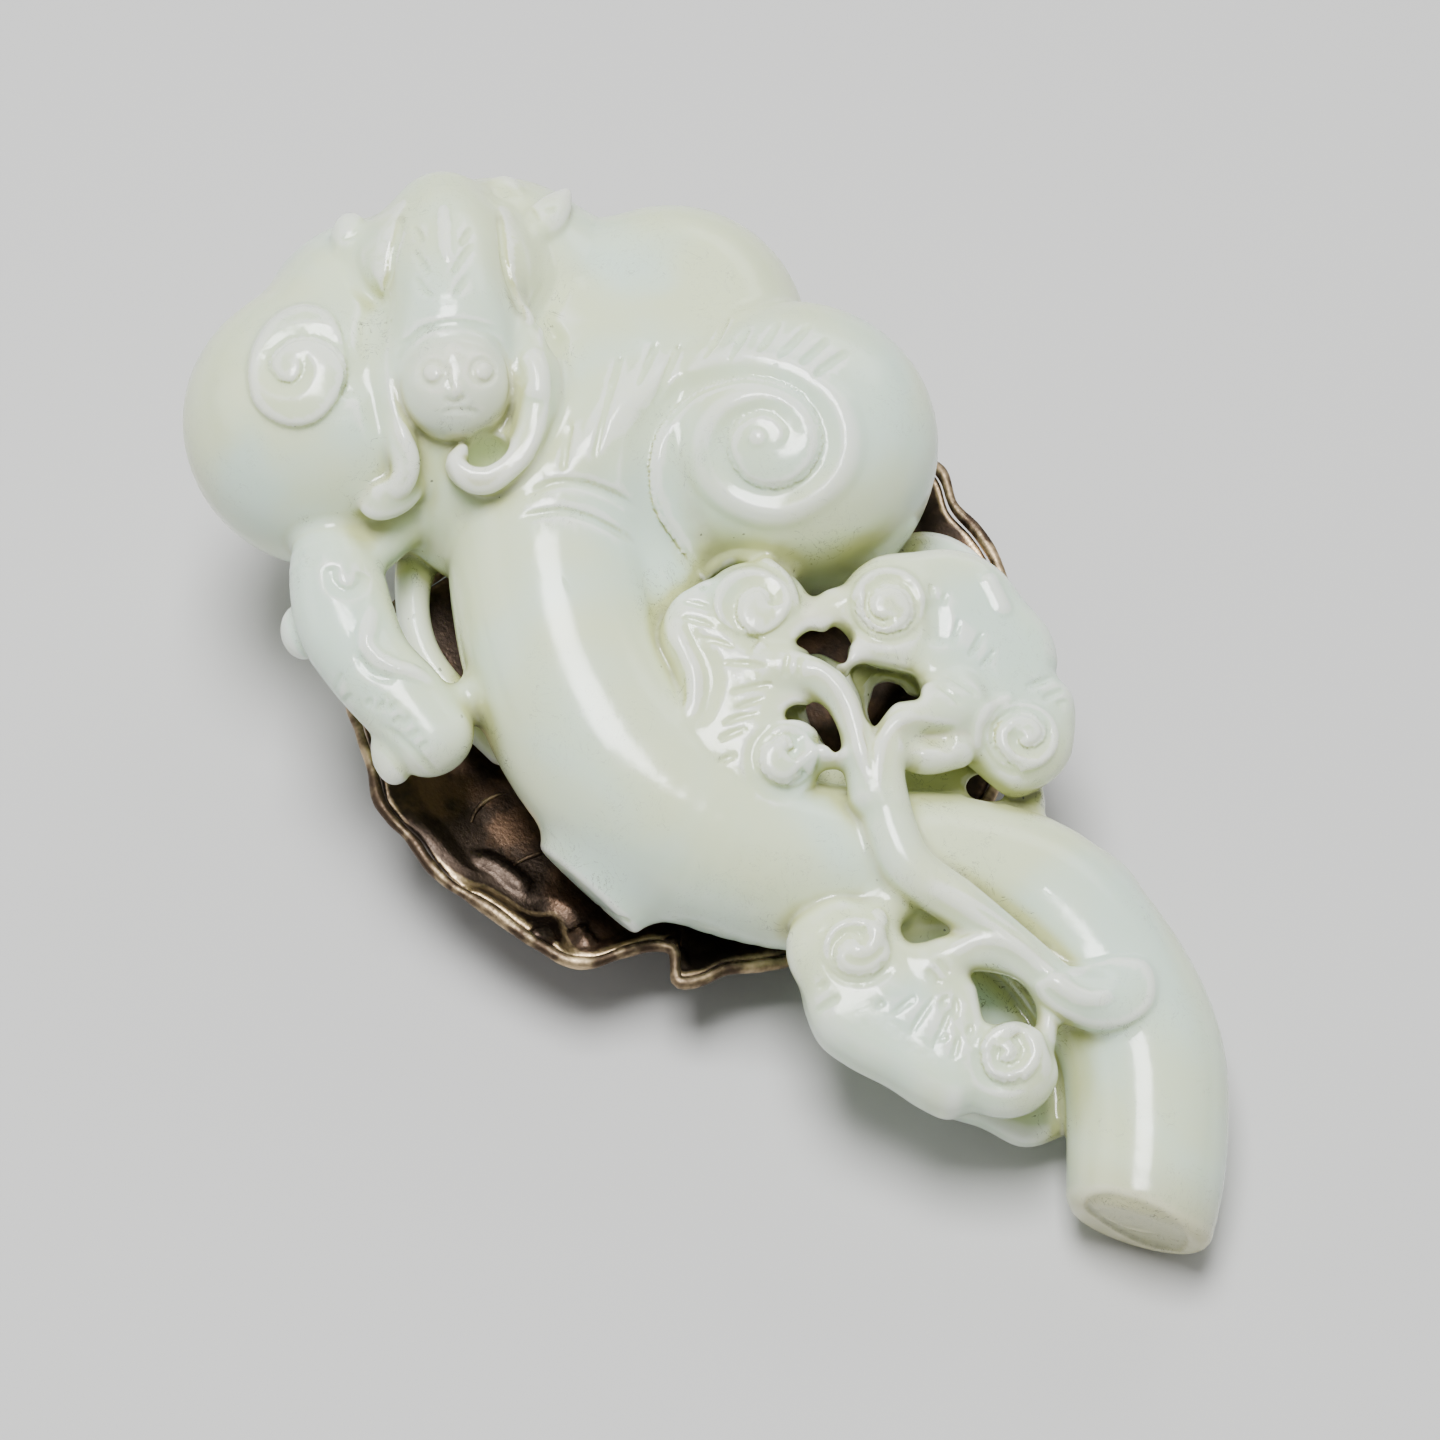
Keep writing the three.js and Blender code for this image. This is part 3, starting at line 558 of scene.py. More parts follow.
class Window:
    """A hole bored along the sight lines through a line on the sheet."""

    def __init__(self, marks: Rows, floor: float, roof: float) -> None:
        """Take the line on the sheet and the heights that the hole runs between.

        Args:
            marks: Rows of x and y on the sheet.
            floor: The height where it starts.
            roof: The height where it ends.
        """
        self.line = PlanLine(marks, step=1.5, margin=30.0)
        self.floor, self.roof = floor, roof
        start, ahead = VIEW.sight(np.asarray(marks, dtype=float))
        ends = [start + ahead * ((height - start[:, 2]) / ahead[:, 2])[:, None]
                for height in (floor, roof)]
        self.low = np.min(np.vstack(ends), axis=0)
        self.high = np.max(np.vstack(ends), axis=0)

    def distance(self, points: Array) -> Array:
        """Return the distance of each point from the wall of the hole.

        Args:
            points: Rows of u, v and w in millimetres.

        Returns:
            Millimetres from the surface, less than 0 inside.
        """
        marks, scale = VIEW.marks(points)
        plan = self.line.distance(marks) / scale
        return np.maximum(plan, np.maximum(points[:, 2] - self.roof,
                                           self.floor - points[:, 2]))


class Taper(Enum):
    """How a carved line fades along its length."""

    EVEN = "even"
    SPINDLE = "spindle"
    TAIL = "tail"
    SOFT = "soft"

    def strength(self, share: Array) -> Array:
        """Return the line's strength at each share of its length.

        Args:
            share: How far along the line, from 0 to 1.

        Returns:
            The strength there, from 0 to 1.
        """
        if self is Taper.SPINDLE:
            return np.sqrt(np.clip(np.sin(math.pi * share), 0, 1))
        if self is Taper.TAIL:
            return eased(share, -0.02, 0.06) * (1 - 0.5 * share) * (1 - eased(share, 0.9, 1))
        if self is Taper.SOFT:
            return eased(share, 0, 0.25) * (1 - eased(share, 0.75, 1))
        return eased(share, -0.01, 0.05) * (1 - eased(share, 0.95, 1.01))


@dataclass(frozen=True)
class Stroke:
    """A carved line on the sheet: a groove where depth is positive, a ridge where not.

    The two widths lie to the left and right of the line as it is drawn.
    """

    marks: Rows
    width: float
    depth: float
    taper: Taper = Taper.EVEN
    right: float = 0.0


def curl(marks: Rows, outer: float, inner: float, depth: float,
         taper: Taper = Taper.TAIL) -> Stroke:
    """Return a spiral groove with a slope outside it and a steep wall inside it.

    Args:
        marks: The spiral on the sheet, from its start in to its eye.
        outer: Width of the slope.
        inner: Width of the wall.
        depth: Depth of the groove.
        taper: How it fades along its length.

    Returns:
        The stroke.
    """
    steps = np.diff(np.asarray(marks, dtype=float), axis=0)
    turn = np.sum(steps[:-1, 0] * steps[1:, 1] - steps[:-1, 1] * steps[1:, 0])
    left, right = (outer, inner) if turn > 0 else (inner, outer)
    return Stroke(marks, left, depth, taper, right)


# The steps that make the stone

@dataclass
class Join:
    """Adds a form to the stone, or takes it out, with a rounded joint."""

    form: Form
    blend: float
    cut: bool = False

    @property
    def box(self) -> tuple[Array, Array]:
        """Return the corners of the box that the step can change."""
        return self.form.low - self.blend - 1.2, self.form.high + self.blend + 1.2

    def apply(self, points: Array, values: Array) -> Array:
        """Return the field at points after this step.

        Args:
            points: Rows of u, v and w in millimetres.
            values: The field at those points so far.

        Returns:
            The field at those points after it.
        """
        found = self.form.distance(points)
        if self.cut:
            return smooth_most(values, -found, self.blend)
        return smooth_least(values, found, self.blend)


class Trace:
    """Carves or raises one line that has been dropped onto the stone."""

    def __init__(self, line: Array, ahead: Array, stroke: Stroke) -> None:
        """Take the line in the level frame, the sight direction and the stroke.

        Args:
            line: Where its marks met the stone.
            ahead: The sight line.
            stroke: What is cut along it.
        """
        self.line, self.ahead, self.stroke = line, ahead, stroke
        self.right = stroke.right or stroke.width
        reach = max(stroke.width, self.right)
        self.box = (line.min(axis=0) - reach, line.max(axis=0) + reach)

    def apply(self, points: Array, values: Array) -> Array:
        """Return the field at points after this step.

        Args:
            points: Rows of u, v and w in millimetres.
            values: The field at those points so far.

        Returns:
            The field at those points after it.
        """
        nearest = np.full(len(points), FAR)
        share = np.zeros(len(points))
        side = np.ones(len(points))
        spans = len(self.line) - 1
        for k in range(spans):
            start, stop = self.line[k], self.line[k + 1]
            away, part = segment_reach(points, start, stop)
            reach = np.linalg.norm(away, axis=1)
            closer = reach < nearest
            nearest[closer] = reach[closer]
            share[closer] = (k + part[closer]) / spans
            hand = np.cross(stop - start, self.ahead)
            side[closer] = np.sign(away[closer] @ hand)
        strength = self.stroke.taper.strength(share)
        spread = np.where(side > 0, self.stroke.width, self.right)
        power = np.where(spread > 1, 1.1, 1.5)
        if self.stroke.taper is Taper.SPINDLE:
            spread = spread * (0.45 + 0.55 * strength)
        if self.stroke.taper is Taper.TAIL:
            spread = spread * (1 - 0.45 * share)
        near = np.clip(nearest / spread, 0, 1)
        if self.stroke.depth > 0:
            near = (np.hypot(near, 0.12) - 0.12) / 0.8872
            return values + self.stroke.depth * strength * (1 - near) ** power
        return values + self.stroke.depth * strength * (1 - near * near) ** 2


@dataclass(frozen=True)
class Patch:
    """An outline on the sheet whose inside is raised, or sunk where rise is negative."""

    marks: Rows
    rise: float
    edge: float = 0.5
    dome: float = 0.0


class Panel:
    """Raises or sinks the stone inside a patch that faces the camera."""

    def __init__(self, points: Array, patch: Patch) -> None:
        """Take where the patch's outline and middle met the stone, and the patch.

        Args:
            points: Where its outline met the stone.
            patch: The patch.
        """
        self.patch = patch
        self.line = PlanLine(patch.marks, step=1.5, margin=30.0)
        self.middle = points.mean(axis=0)
        self.reach = float(np.linalg.norm(points - self.middle, axis=1).max())
        self.box = (points.min(axis=0) - 1.5, points.max(axis=0) + 1.5)

    def apply(self, points: Array, values: Array) -> Array:
        """Return the field at points after this step.

        Args:
            points: Rows of u, v and w in millimetres.
            values: The field at those points so far.

        Returns:
            The field at those points after it.
        """
        marks, scale = VIEW.marks(points)
        plan = -self.line.distance(marks) / scale
        far = np.linalg.norm(points - self.middle, axis=1) / (self.reach + 1.5)
        rise = eased(plan, -self.patch.edge / 2, self.patch.edge / 2) * self.patch.rise
        rise = rise + self.patch.dome * np.clip(plan, 0, 3) / 3
        return values - rise * (1 - eased(far, 0.9, 1.3))


@dataclass
class Stone:
    """The block that the jade is sculpted in."""

    low: Row = (-63.0, -34.0, -1.5)
    high: Row = (60.0, 37.0, 29.5)
    step: float = 0.2
    band: float = 0.6
    steps: list = field(default_factory=list)
    strokes: list = field(default_factory=list)

    def add(self, form: Form, blend: float = 0.6) -> None:
        """Join a form to the stone."""
        self.steps.append(Join(form, blend))

    def cut(self, form: Form, blend: float = 0.4) -> None:
        """Take a form out of the stone."""
        self.steps.append(Join(form, blend, cut=True))

    def draw(self, *strokes: Stroke | Patch) -> None:
        """Keep lines and patches to be carved once all forms are joined."""
        self.strokes.extend(strokes)

    def measure(self, points: Array) -> Array:
        """Return the field at points, which are taken in any order.

        Args:
            points: Rows of u, v and w in millimetres.

        Returns:
            The field at those points.
        """
        order = np.argsort(points[:, 0], kind="stable")
        sorted_points = points[order]
        values = np.full(len(points), FAR)
        for step in self.steps:
            low, high = step.box
            rows = near_rows(sorted_points, low, high)
            if len(rows):
                values[rows] = step.apply(sorted_points[rows], values[rows])
        result = np.empty(len(points))
        result[order] = values
        return result

    def touch(self, marks: Array) -> tuple[Array, Array]:
        """Drop marks on the sheet along their sight lines onto the stone.

        Args:
            marks: Rows of x and y on the sheet.

        Returns:
            The points where they meet the stone, and which of them did.
        """
        start, ahead = VIEW.sight(marks)
        travel = (self.high[2] - start[:, 2]) / ahead[:, 2]
        limit = (self.low[2] - start[:, 2]) / ahead[:, 2]
        going = np.arange(len(marks))
        for _ in range(60):
            values = self.measure(start[going] + ahead[going] * travel[going, None])
            travel[going] += np.clip(values * 0.85, -0.5, 1.1)
            going = going[(np.abs(values) > 0.004) & (travel[going] < limit[going])]
            if not len(going):
                break
        return start + ahead * travel[:, None], travel < limit

    def carve(self) -> None:
        """Drop kept patches, then ridges, then grooves onto the stone as steps."""
        kinds = ([one for one in self.strokes if isinstance(one, Patch)],
                 [one for one in self.strokes if isinstance(one, Stroke) and one.depth < 0],
                 [one for one in self.strokes if isinstance(one, Stroke) and one.depth > 0])
        for kind in kinds:
            if not kind:
                continue
            lines = [smooth_line(one.marks, 4.0, isinstance(one, Patch), place=2)
                     for one in kind]
            points, met = self.touch(np.vstack(lines))
            _, ahead = VIEW.sight(np.vstack(lines))
            first, found = 0, []
            for one, line in zip(kind, lines):
                part = slice(first, first + len(line))
                first += len(line)
                held = points[part][met[part]]
                if isinstance(one, Patch):
                    found.append(Panel(held, one))
                elif len(held) > 1:
                    found.append(Trace(held, ahead[part].mean(axis=0), one))
            self.steps += found
        self.strokes = []

    def fill(self) -> Array:
        """Return the field on the whole grid, exact near the surface.

        Returns:
            The field on the whole grid.
        """
        wide = self.step * 4
        counts = [int((b - a) / wide) + 2 for a, b in zip(self.low, self.high)]
        axes = [a + wide * np.arange(n) for a, n in zip(self.low, counts)]
        grid = np.stack(np.meshgrid(*axes, indexing="ij"), axis=-1).reshape(-1, 3)
        values = self.measure(grid).reshape(counts).astype(np.float32)
        for step, band in ((self.step * 2, self.band * 2), (self.step, self.band)):
            values = finer(values)
            close = np.argwhere(np.abs(values) < band)
            for first in range(0, len(close), CHUNK):
                part = close[first:first + CHUNK]
                values[tuple(part.T)] = self.measure(np.array(self.low) + part * step)
        return values


def finer(values: Array) -> Array:
    """Return a field on a grid of half the step, blended between its points.

    Args:
        values: The field on its grid.

    Returns:
        The field on the finer grid.
    """
    for axis in range(3):
        values = np.moveaxis(values, axis, 0)
        more = np.empty((len(values) * 2 - 1, *values.shape[1:]), dtype=np.float32)
        more[::2] = values
        more[1::2] = (values[:-1] + values[1:]) / 2
        values = np.moveaxis(more, 0, axis)
    return np.ascontiguousarray(values)


def untangle(values: Array) -> None:
    """Fill the few corners where two surfaces would touch at an edge or a point.

    Args:
        values: The field on the grid, changed in place.
    """
    for _ in range(12):
        inside = values < 0
        changed = 0
        for first, second in ((0, 1), (0, 2), (1, 2)):
            cuts = []
            for a in (0, 1):
                for b in (0, 1):
                    cut = [slice(None)] * 3
                    cut[first] = slice(a, inside.shape[first] - 1 + a)
                    cut[second] = slice(b, inside.shape[second] - 1 + b)
                    cuts.append(tuple(cut))
            w, x, y, z = (inside[cut] for cut in cuts)
            crossed = (w == z) & (x == y) & (w != x)
            changed += int(crossed.sum())
            for cut in cuts:
                view = values[cut]
                view[crossed & (view >= 0)] = -1e-3
        inside = values < 0
        corners = [inside[a:inside.shape[0] - 1 + a, b:inside.shape[1] - 1 + b,
                          c:inside.shape[2] - 1 + c]
                   for a in (0, 1) for b in (0, 1) for c in (0, 1)]
        count = sum(corner.astype(np.int8) for corner in corners)
        for k in range(4):
            same = corners[k] == corners[7 - k]
            lone = same & (((count == 2) & corners[k]) | ((count == 6) & ~corners[k]))
            changed += int(lone.sum())
            cell = np.argwhere(lone)
            values[tuple((cell + [0, 0, 0]).T)] = -1e-3
            values[tuple((cell + [0, 0, 1]).T)] = -1e-3
            values[tuple((cell + [0, 1, 1]).T)] = -1e-3
            values[tuple((cell + [1, 1, 1]).T)] = -1e-3
        if not changed:
            break


def net(values: Array) -> tuple[Array, Array]:
    """Skin the zero surface of a field with one point in each crossed cell.

    Args:
        values: The field on a grid.

    Returns:
        Points in grid steps, and four-sided faces that point outward.
    """
    inside = values < 0
    shape = np.array(values.shape) - 1
    count = np.zeros(shape, dtype=np.int8)
    offsets = [(a, b, c) for a in (0, 1) for b in (0, 1) for c in (0, 1)]
    for a, b, c in offsets:
        count += inside[a:a + shape[0], b:b + shape[1], c:c + shape[2]]
    cells = np.argwhere((count > 0) & (count < 8))
    index = np.full(shape, -1, dtype=np.int32)
    index[tuple(cells.T)] = np.arange(len(cells))
    total = np.zeros((len(cells), 3))
    crossings = np.zeros(len(cells))
    for near in offsets:
        for axis in range(3):
            if near[axis]:
                continue
            far = list(near)
            far[axis] = 1
            low = values[tuple((cells + near).T)]
            high = values[tuple((cells + far).T)]
            crossed = (low < 0) != (high < 0)
            share = np.where(crossed, low / np.where(crossed, low - high, 1), 0)
            spot = np.repeat(np.array([near], dtype=float), len(cells), axis=0)
            spot[:, axis] += share
            total += spot * crossed[:, None]
            crossings += crossed
    points = cells + total / crossings[:, None]
    faces = []
    for axis in range(3):
        low = [slice(1, -1)] * 3
        low[axis] = slice(0, -1)
        high = list(low)
        high[axis] = slice(1, None)
        first, second = inside[tuple(low)], inside[tuple(high)]
        edges = np.argwhere(first != second)
        start = np.ones(3, dtype=int)
        start[axis] = 0
        base = edges + start
        outward = first[tuple(edges.T)]
        one, two = (axis + 1) % 3, (axis + 2) % 3
        ring = []
        for a, b in ((0, 0), (1, 0), (1, 1), (0, 1)):
            cell = base.copy()
            cell[:, one] -= a
            cell[:, two] -= b
            ring.append(index[tuple(cell.T)])
        quads = np.stack(ring, axis=1)
        quads[~outward] = quads[~outward][:, ::-1]
        faces.append(quads)
    return points, np.vstack(faces)


def sample(values: Array, spots: Array) -> Array:
    """Return the field between the grid's points, by straight blending.

    Args:
        values: The field on its grid.
        spots: Places in steps of the grid.

    Returns:
        The field there.
    """
    spots = np.clip(spots, 0, np.array(values.shape) - 1.001)
    cell = spots.astype(int)
    part = spots - cell
    result = np.zeros(len(spots))
    for a in (0, 1):
        for b in (0, 1):
            for c in (0, 1):
                weight = np.ones(len(spots))
                for axis, bit in enumerate((a, b, c)):
                    weight *= part[:, axis] if bit else 1 - part[:, axis]
                result += weight * values[tuple((cell + [a, b, c]).T)]
    return result


def slope(values: Array, spots: Array, reach: float = 0.6) -> Array:
    """Return the field's unit slope at spots given in grid steps.

    Args:
        values: The field on its grid.
        spots: Places in steps of the grid.
        reach: How far to look each way, in steps.

    Returns:
        Unit vectors that point out of the stone.
    """
    result = np.empty_like(spots)
    for axis in range(3):
        shift = np.zeros(3)
        shift[axis] = reach
        result[:, axis] = sample(values, spots + shift) - sample(values, spots - shift)
    return result / np.maximum(np.linalg.norm(result, axis=1, keepdims=True), 1e-9)


def new_piece(name: str, points: Array, faces: Array) -> bpy.types.Object:
    """Make a smoothly shaded mesh object at the origin.

    Args:
        name: Name of the object and its mesh.
        points: Places in metres.
        faces: Rows of point numbers, three or four to a face.

    Returns:
        The new object, linked to the scene.
    """
    mesh = bpy.data.meshes.new(name)
    mesh.vertices.add(len(points))
    mesh.vertices.foreach_set("co", np.ascontiguousarray(points, dtype=np.float32).ravel())
    sides = faces.shape[1]
    mesh.loops.add(faces.size)
    mesh.loops.foreach_set("vertex_index", np.ascontiguousarray(faces, dtype=np.int32).ravel())
    mesh.polygons.add(len(faces))
    mesh.polygons.foreach_set("loop_start", np.arange(0, faces.size, sides, dtype=np.int32))
    mesh.polygons.foreach_set("loop_total", np.full(len(faces), sides, dtype=np.int32))
    mesh.update(calc_edges=True)
    mesh.validate()
    mesh.shade_smooth()
    piece = bpy.data.objects.new(name, mesh)
    bpy.context.scene.collection.objects.link(piece)
    return piece


def reduce_faces(piece: bpy.types.Object, limit: int) -> None:
    """Thin a piece to fewer triangles than a limit, more so on its plain underside.

    Args:
        piece: The piece, whose mesh is replaced.
        limit: The most triangles that it keeps.
    """
    name, count = piece.data.name, sum(len(side.vertices) - 2 for side in piece.data.polygons)
    plain = piece.vertex_groups.new(name="plain")
    normals = np.empty(len(piece.data.vertices) * 3)
    piece.data.vertices.foreach_get("normal", normals)
    plain.add(list(range(len(piece.data.vertices))), 0.5, "REPLACE")
    plain.add(np.nonzero(normals[2::3] < -0.5)[0].tolist(), 1.0, "REPLACE")
    thin = piece.modifiers.new("thin", "DECIMATE")
    thin.vertex_group = plain.name
    thin.vertex_group_factor = PLAIN_BIAS
    thin.ratio = min(1.0, limit / count)
    thin.use_collapse_triangulate = True
    finished = bpy.data.meshes.new_from_object(
        piece.evaluated_get(bpy.context.evaluated_depsgraph_get()))
    piece.modifiers.clear()
    piece.vertex_groups.clear()
    rough, piece.data = piece.data, finished
    bpy.data.meshes.remove(rough)
    finished.name = name
    finished.shade_smooth()


def mark(piece: bpy.types.Object, values: Array, stone: Stone) -> None:
    """Store on each point how deep in a recess or groove, how thin and how sharp it is.

    Args:
        piece: The finished mesh.
        values: The field on its grid.
        stone: The block that the field belongs to.
    """
    count = len(piece.data.vertices)
    places = np.empty(count * 3)
    piece.data.vertices.foreach_get("co", places)
    spots = (POSE.to_flat(places.reshape(-1, 3) / METRE) - stone.low) / stone.step
    normal = slope(values, spots)
    recess, thin, gold = np.zeros(count), np.zeros(count), np.zeros(count)
    groove = np.clip(1 - sample(values, spots + normal * 0.4 / stone.step) / 0.4, 0, 1)
    bend, reach = -6 * sample(values, spots), 0.7
    for axis in range(3):
        shift = np.zeros(3)
        shift[axis] = reach / stone.step
        bend += sample(values, spots + shift) + sample(values, spots - shift)
    ridge = np.clip(bend / reach ** 2, 0, 1.5)
    for reach in (0.6, 1.2, 2.4, 4.8):
        away = sample(values, spots + normal * reach / stone.step) / reach
        recess += np.clip(1 - away, 0, 1) / 4
    for reach in (1.2, 2.4):
        deep = -sample(values, spots - normal * reach / stone.step) / reach
        thin += np.clip(1 - deep, 0, 1) / 2
    for reach in (0.5, 0.9):
        deep = -sample(values, spots - normal * reach / stone.step) / reach
        gold += np.clip(1 - deep, 0, 1)
    for name, found in (("recess", recess), ("groove", groove), ("ridge", ridge),
                        ("thin", thin), ("gold", gold)):
        layer = piece.data.attributes.new(name, "FLOAT", "POINT")
        layer.data.foreach_set("value", found.astype(np.float32))


# The parts of the carving

@dataclass(frozen=True)
class GreatCap:
    """The great lobed cap with a scrolled ball at each end."""

    lobes: Rows = (
        (-33, 3, 15.5), (-18.4, 20.4, 12.6), (-34.4, 19.6, 12.6), (-46.4, 8.6, 11.8),
        (-48.8, -2.6, 11.6), (-44, -11.4, 12.6))
    hub: Row = (-33.5, 5)
    top: float = 18.8
    thick: float = 17.6
    edge: float = 8.6
    crown: float = 1.6
    right_ball: Row = (-17.6, 20.2, 12.8, 13.1, 13.1, 11.8)
    neck_ball: Row = (-24.6, 9.4, 12, 9, 9, 8.6)
    left_bulb: Row = (-43.9, -11.8, 11.6, 13, 12.8, 11.2)
    gills: tuple[Rows, ...] = (
        ((594, 458), (603, 419), (612, 386), (621, 356)), ((637, 386), (648, 363), (657, 343)),
        ((649, 413), (661, 391), (670, 366), (680, 345)), ((703, 359), (717, 338), (728, 317)),
        ((729, 359), (739, 343), (749, 328)), ((758, 352), (769, 338), (779, 322)),
        ((777, 358), (793, 343), (810, 325)), ((800, 364), (815, 351), (828, 339)),
        ((813, 376), (830, 363), (848, 351)), ((563, 470), (566, 447), (571, 424)))
    web: Rows = ((622, 492, 13, 6, 6), (644, 540, 11.4, 5.6, 6), (652, 596, 9.8, 4.8, 6),
                 (648, 660, 8.6, 4, 6))
    big_groove: Rows = (
        (694, 568), (675, 541), (660, 519), (651, 494), (650, 464), (656, 436), (672, 412),
        (695, 392), (723, 381), (751, 377), (782, 384), (805, 399), (819, 423), (821, 449),
        (811, 470), (791, 485), (765, 488), (744, 479), (731, 461), (727, 442), (733, 427),
        (745, 417), (762, 412), (777, 417), (787, 430), (784, 442), (772, 449), (762, 445))
    big_crest: Rows = (
        (575, 476), (593, 442), (611, 414), (637, 390), (662, 374), (693, 364), (726, 359),
        (759, 363), (790, 371), (816, 387), (837, 405), (848, 430), (848, 455), (838, 478),
        (815, 498), (790, 512), (764, 514), (739, 507), (716, 493), (701, 473), (696, 453),
        (703, 430), (718, 410), (739, 399), (759, 397), (779, 404), (792, 417), (793, 432))
    big_eye: Row = (757, 437, 8)
    small_disc: Rows = (
        (344, 345), (329, 312), (302, 304), (273, 317), (253, 346), (248, 376), (255, 405),
        (276, 422), (299, 426), (321, 418), (338, 397), (346, 372))
    small_groove: Rows = (
        (340, 398), (347, 374), (342, 355), (331, 344), (313, 337), (293, 338), (277, 349),
        (269, 364), (277, 378), (292, 382), (301, 371), (300, 360), (295, 353))

    def block(self, stone: Stone) -> None:
        """Join the cap's forms to the stone.

        Args:
            stone: The block that is sculpted.
        """
        stone.add(Cushion(Lobes(self.lobes, 1.6), self.hub, self.top, self.thick, (0, 0),
                          self.edge, self.crown, dish=9.0))
        stone.add(Ball(self.neck_ball), 4.0)
        stone.add(Ball(self.right_ball, power=2.4), 1.2)
        stone.add(Ball(self.left_bulb), 2.0)
        stone.add(Limb(VIEW.spots(self.web)), 3.5)

    def carve(self, stone: Stone) -> None:
        """Draw the gill strokes and the two scrolls.

        Args:
            stone: The block that is sculpted.
        """
        stone.draw(Stroke(self.big_crest, 2.6, -0.55, Taper.TAIL),
                   curl(self.big_groove, 2.9, 0.85, 1.2),
                   Patch(ring(*self.big_eye), 0.25, 0.9, 0.2),
                   Patch(self.small_disc, 0.75, 0.45, 0.3),
                   curl(self.small_groove, 2.3, 0.6, 1.1))
        for gill in self.gills:
            stone.draw(Stroke(gill, 0.55, 0.9, Taper.SPINDLE))


@dataclass(frozen=True)
class Stem:
    """The thick curved stem with its cut end, a cut-off twig and a small boss."""

    rows: Rows = (
        (-31, 5, 12.2, 8.6, 8.2), (-28.1, 2.1, 12, 9.1, 8.5), (-24.6, -1.4, 11.5, 9.2, 8.6),
        (-18.2, -5.7, 11, 9.1, 8.6), (-11, -8.8, 10.5, 9.1, 8.5), (-2.8, -10, 10, 9, 8.4),
        (5.1, -8.3, 9.5, 8.6, 8.1), (12.4, -4.1, 9, 7.6, 7.5), (17.6, 1.8, 8.5, 7.1, 7.1),
        (22.3, 8.2, 8, 7, 6.9), (28.4, 12.2, 7.8, 7.1, 6.8), (36, 12.7, 7.5, 7.1, 6.8),
        (43.5, 10.9, 7.2, 7, 6.7), (49.3, 6.8, 6.6, 6.8, 6.5), (53.4, 2.9, 6, 6.4, 6.3),
        (57.6, -2.2, 5.4, 5.6, 5.6))
    end_face: Row = (55.4, 0.7, 5.9, 0.56, -0.82, -0.1)
    end_edge: float = 1.7
    stub: Rows = ((3.4, -11, 8.6, 5.6, 3.1), (4.0, -15, 7.6, 5.3, 3.1), (4.9, -21, 6, 5.6, 3.3))
    stub_face: Row = (4.6, -18.5, 6.7, 0.15, -0.97, -0.2)
    boss: Row = (30.6, 17.6, 8.4, 3, 2.4, 2.2)
    neck_lines: tuple[Rows, ...] = (
        ((524, 497), (545, 484), (560, 480), (580, 481), (603, 488), (628, 500), (646, 512)),
        ((514, 520), (537, 512), (560, 509), (575, 511), (596, 518), (620, 531), (640, 545)))
    end_inset: Rows = (
        (1086, 1204), (1092, 1197), (1107, 1194), (1129, 1198), (1151, 1206), (1173, 1219),
        (1186, 1233), (1187, 1243), (1181, 1250), (1168, 1250), (1142, 1243), (1118, 1231),
        (1097, 1217), (1087, 1209))
    end_line: Rows = ((1097, 1212), (1112, 1220), (1129, 1227), (1158, 1234))
    stub_lip: Rows = ((546, 872), (566, 888), (599, 907), (632, 924))

    def block(self, stone: Stone) -> None:
        """Join the stem's forms to the stone.

        Args:
            stone: The block that is sculpted.
        """
        stone.add(Limb(self.rows, faces=(self.end_face,), edge=self.end_edge), 1.0)
        stone.add(Limb(self.stub, faces=(self.stub_face,), edge=0.7), 3.0)
        stone.add(Ball(self.boss), 1.4)

    def carve(self, stone: Stone) -> None:
        """Draw the neck lines, the ring on the cut end and the lip of the stub.

        Args:
            stone: The block that is sculpted.
        """
        for line in self.neck_lines:
            stone.draw(Stroke(line, 0.45, 0.65, Taper.SOFT, right=0.95))
        stone.draw(Patch(self.end_inset, -0.35, 0.6),
                   Stroke(self.end_line, 0.4, -0.2, Taper.SOFT),
                   Stroke(self.stub_lip, 0.45, 0.3, Taper.SOFT))


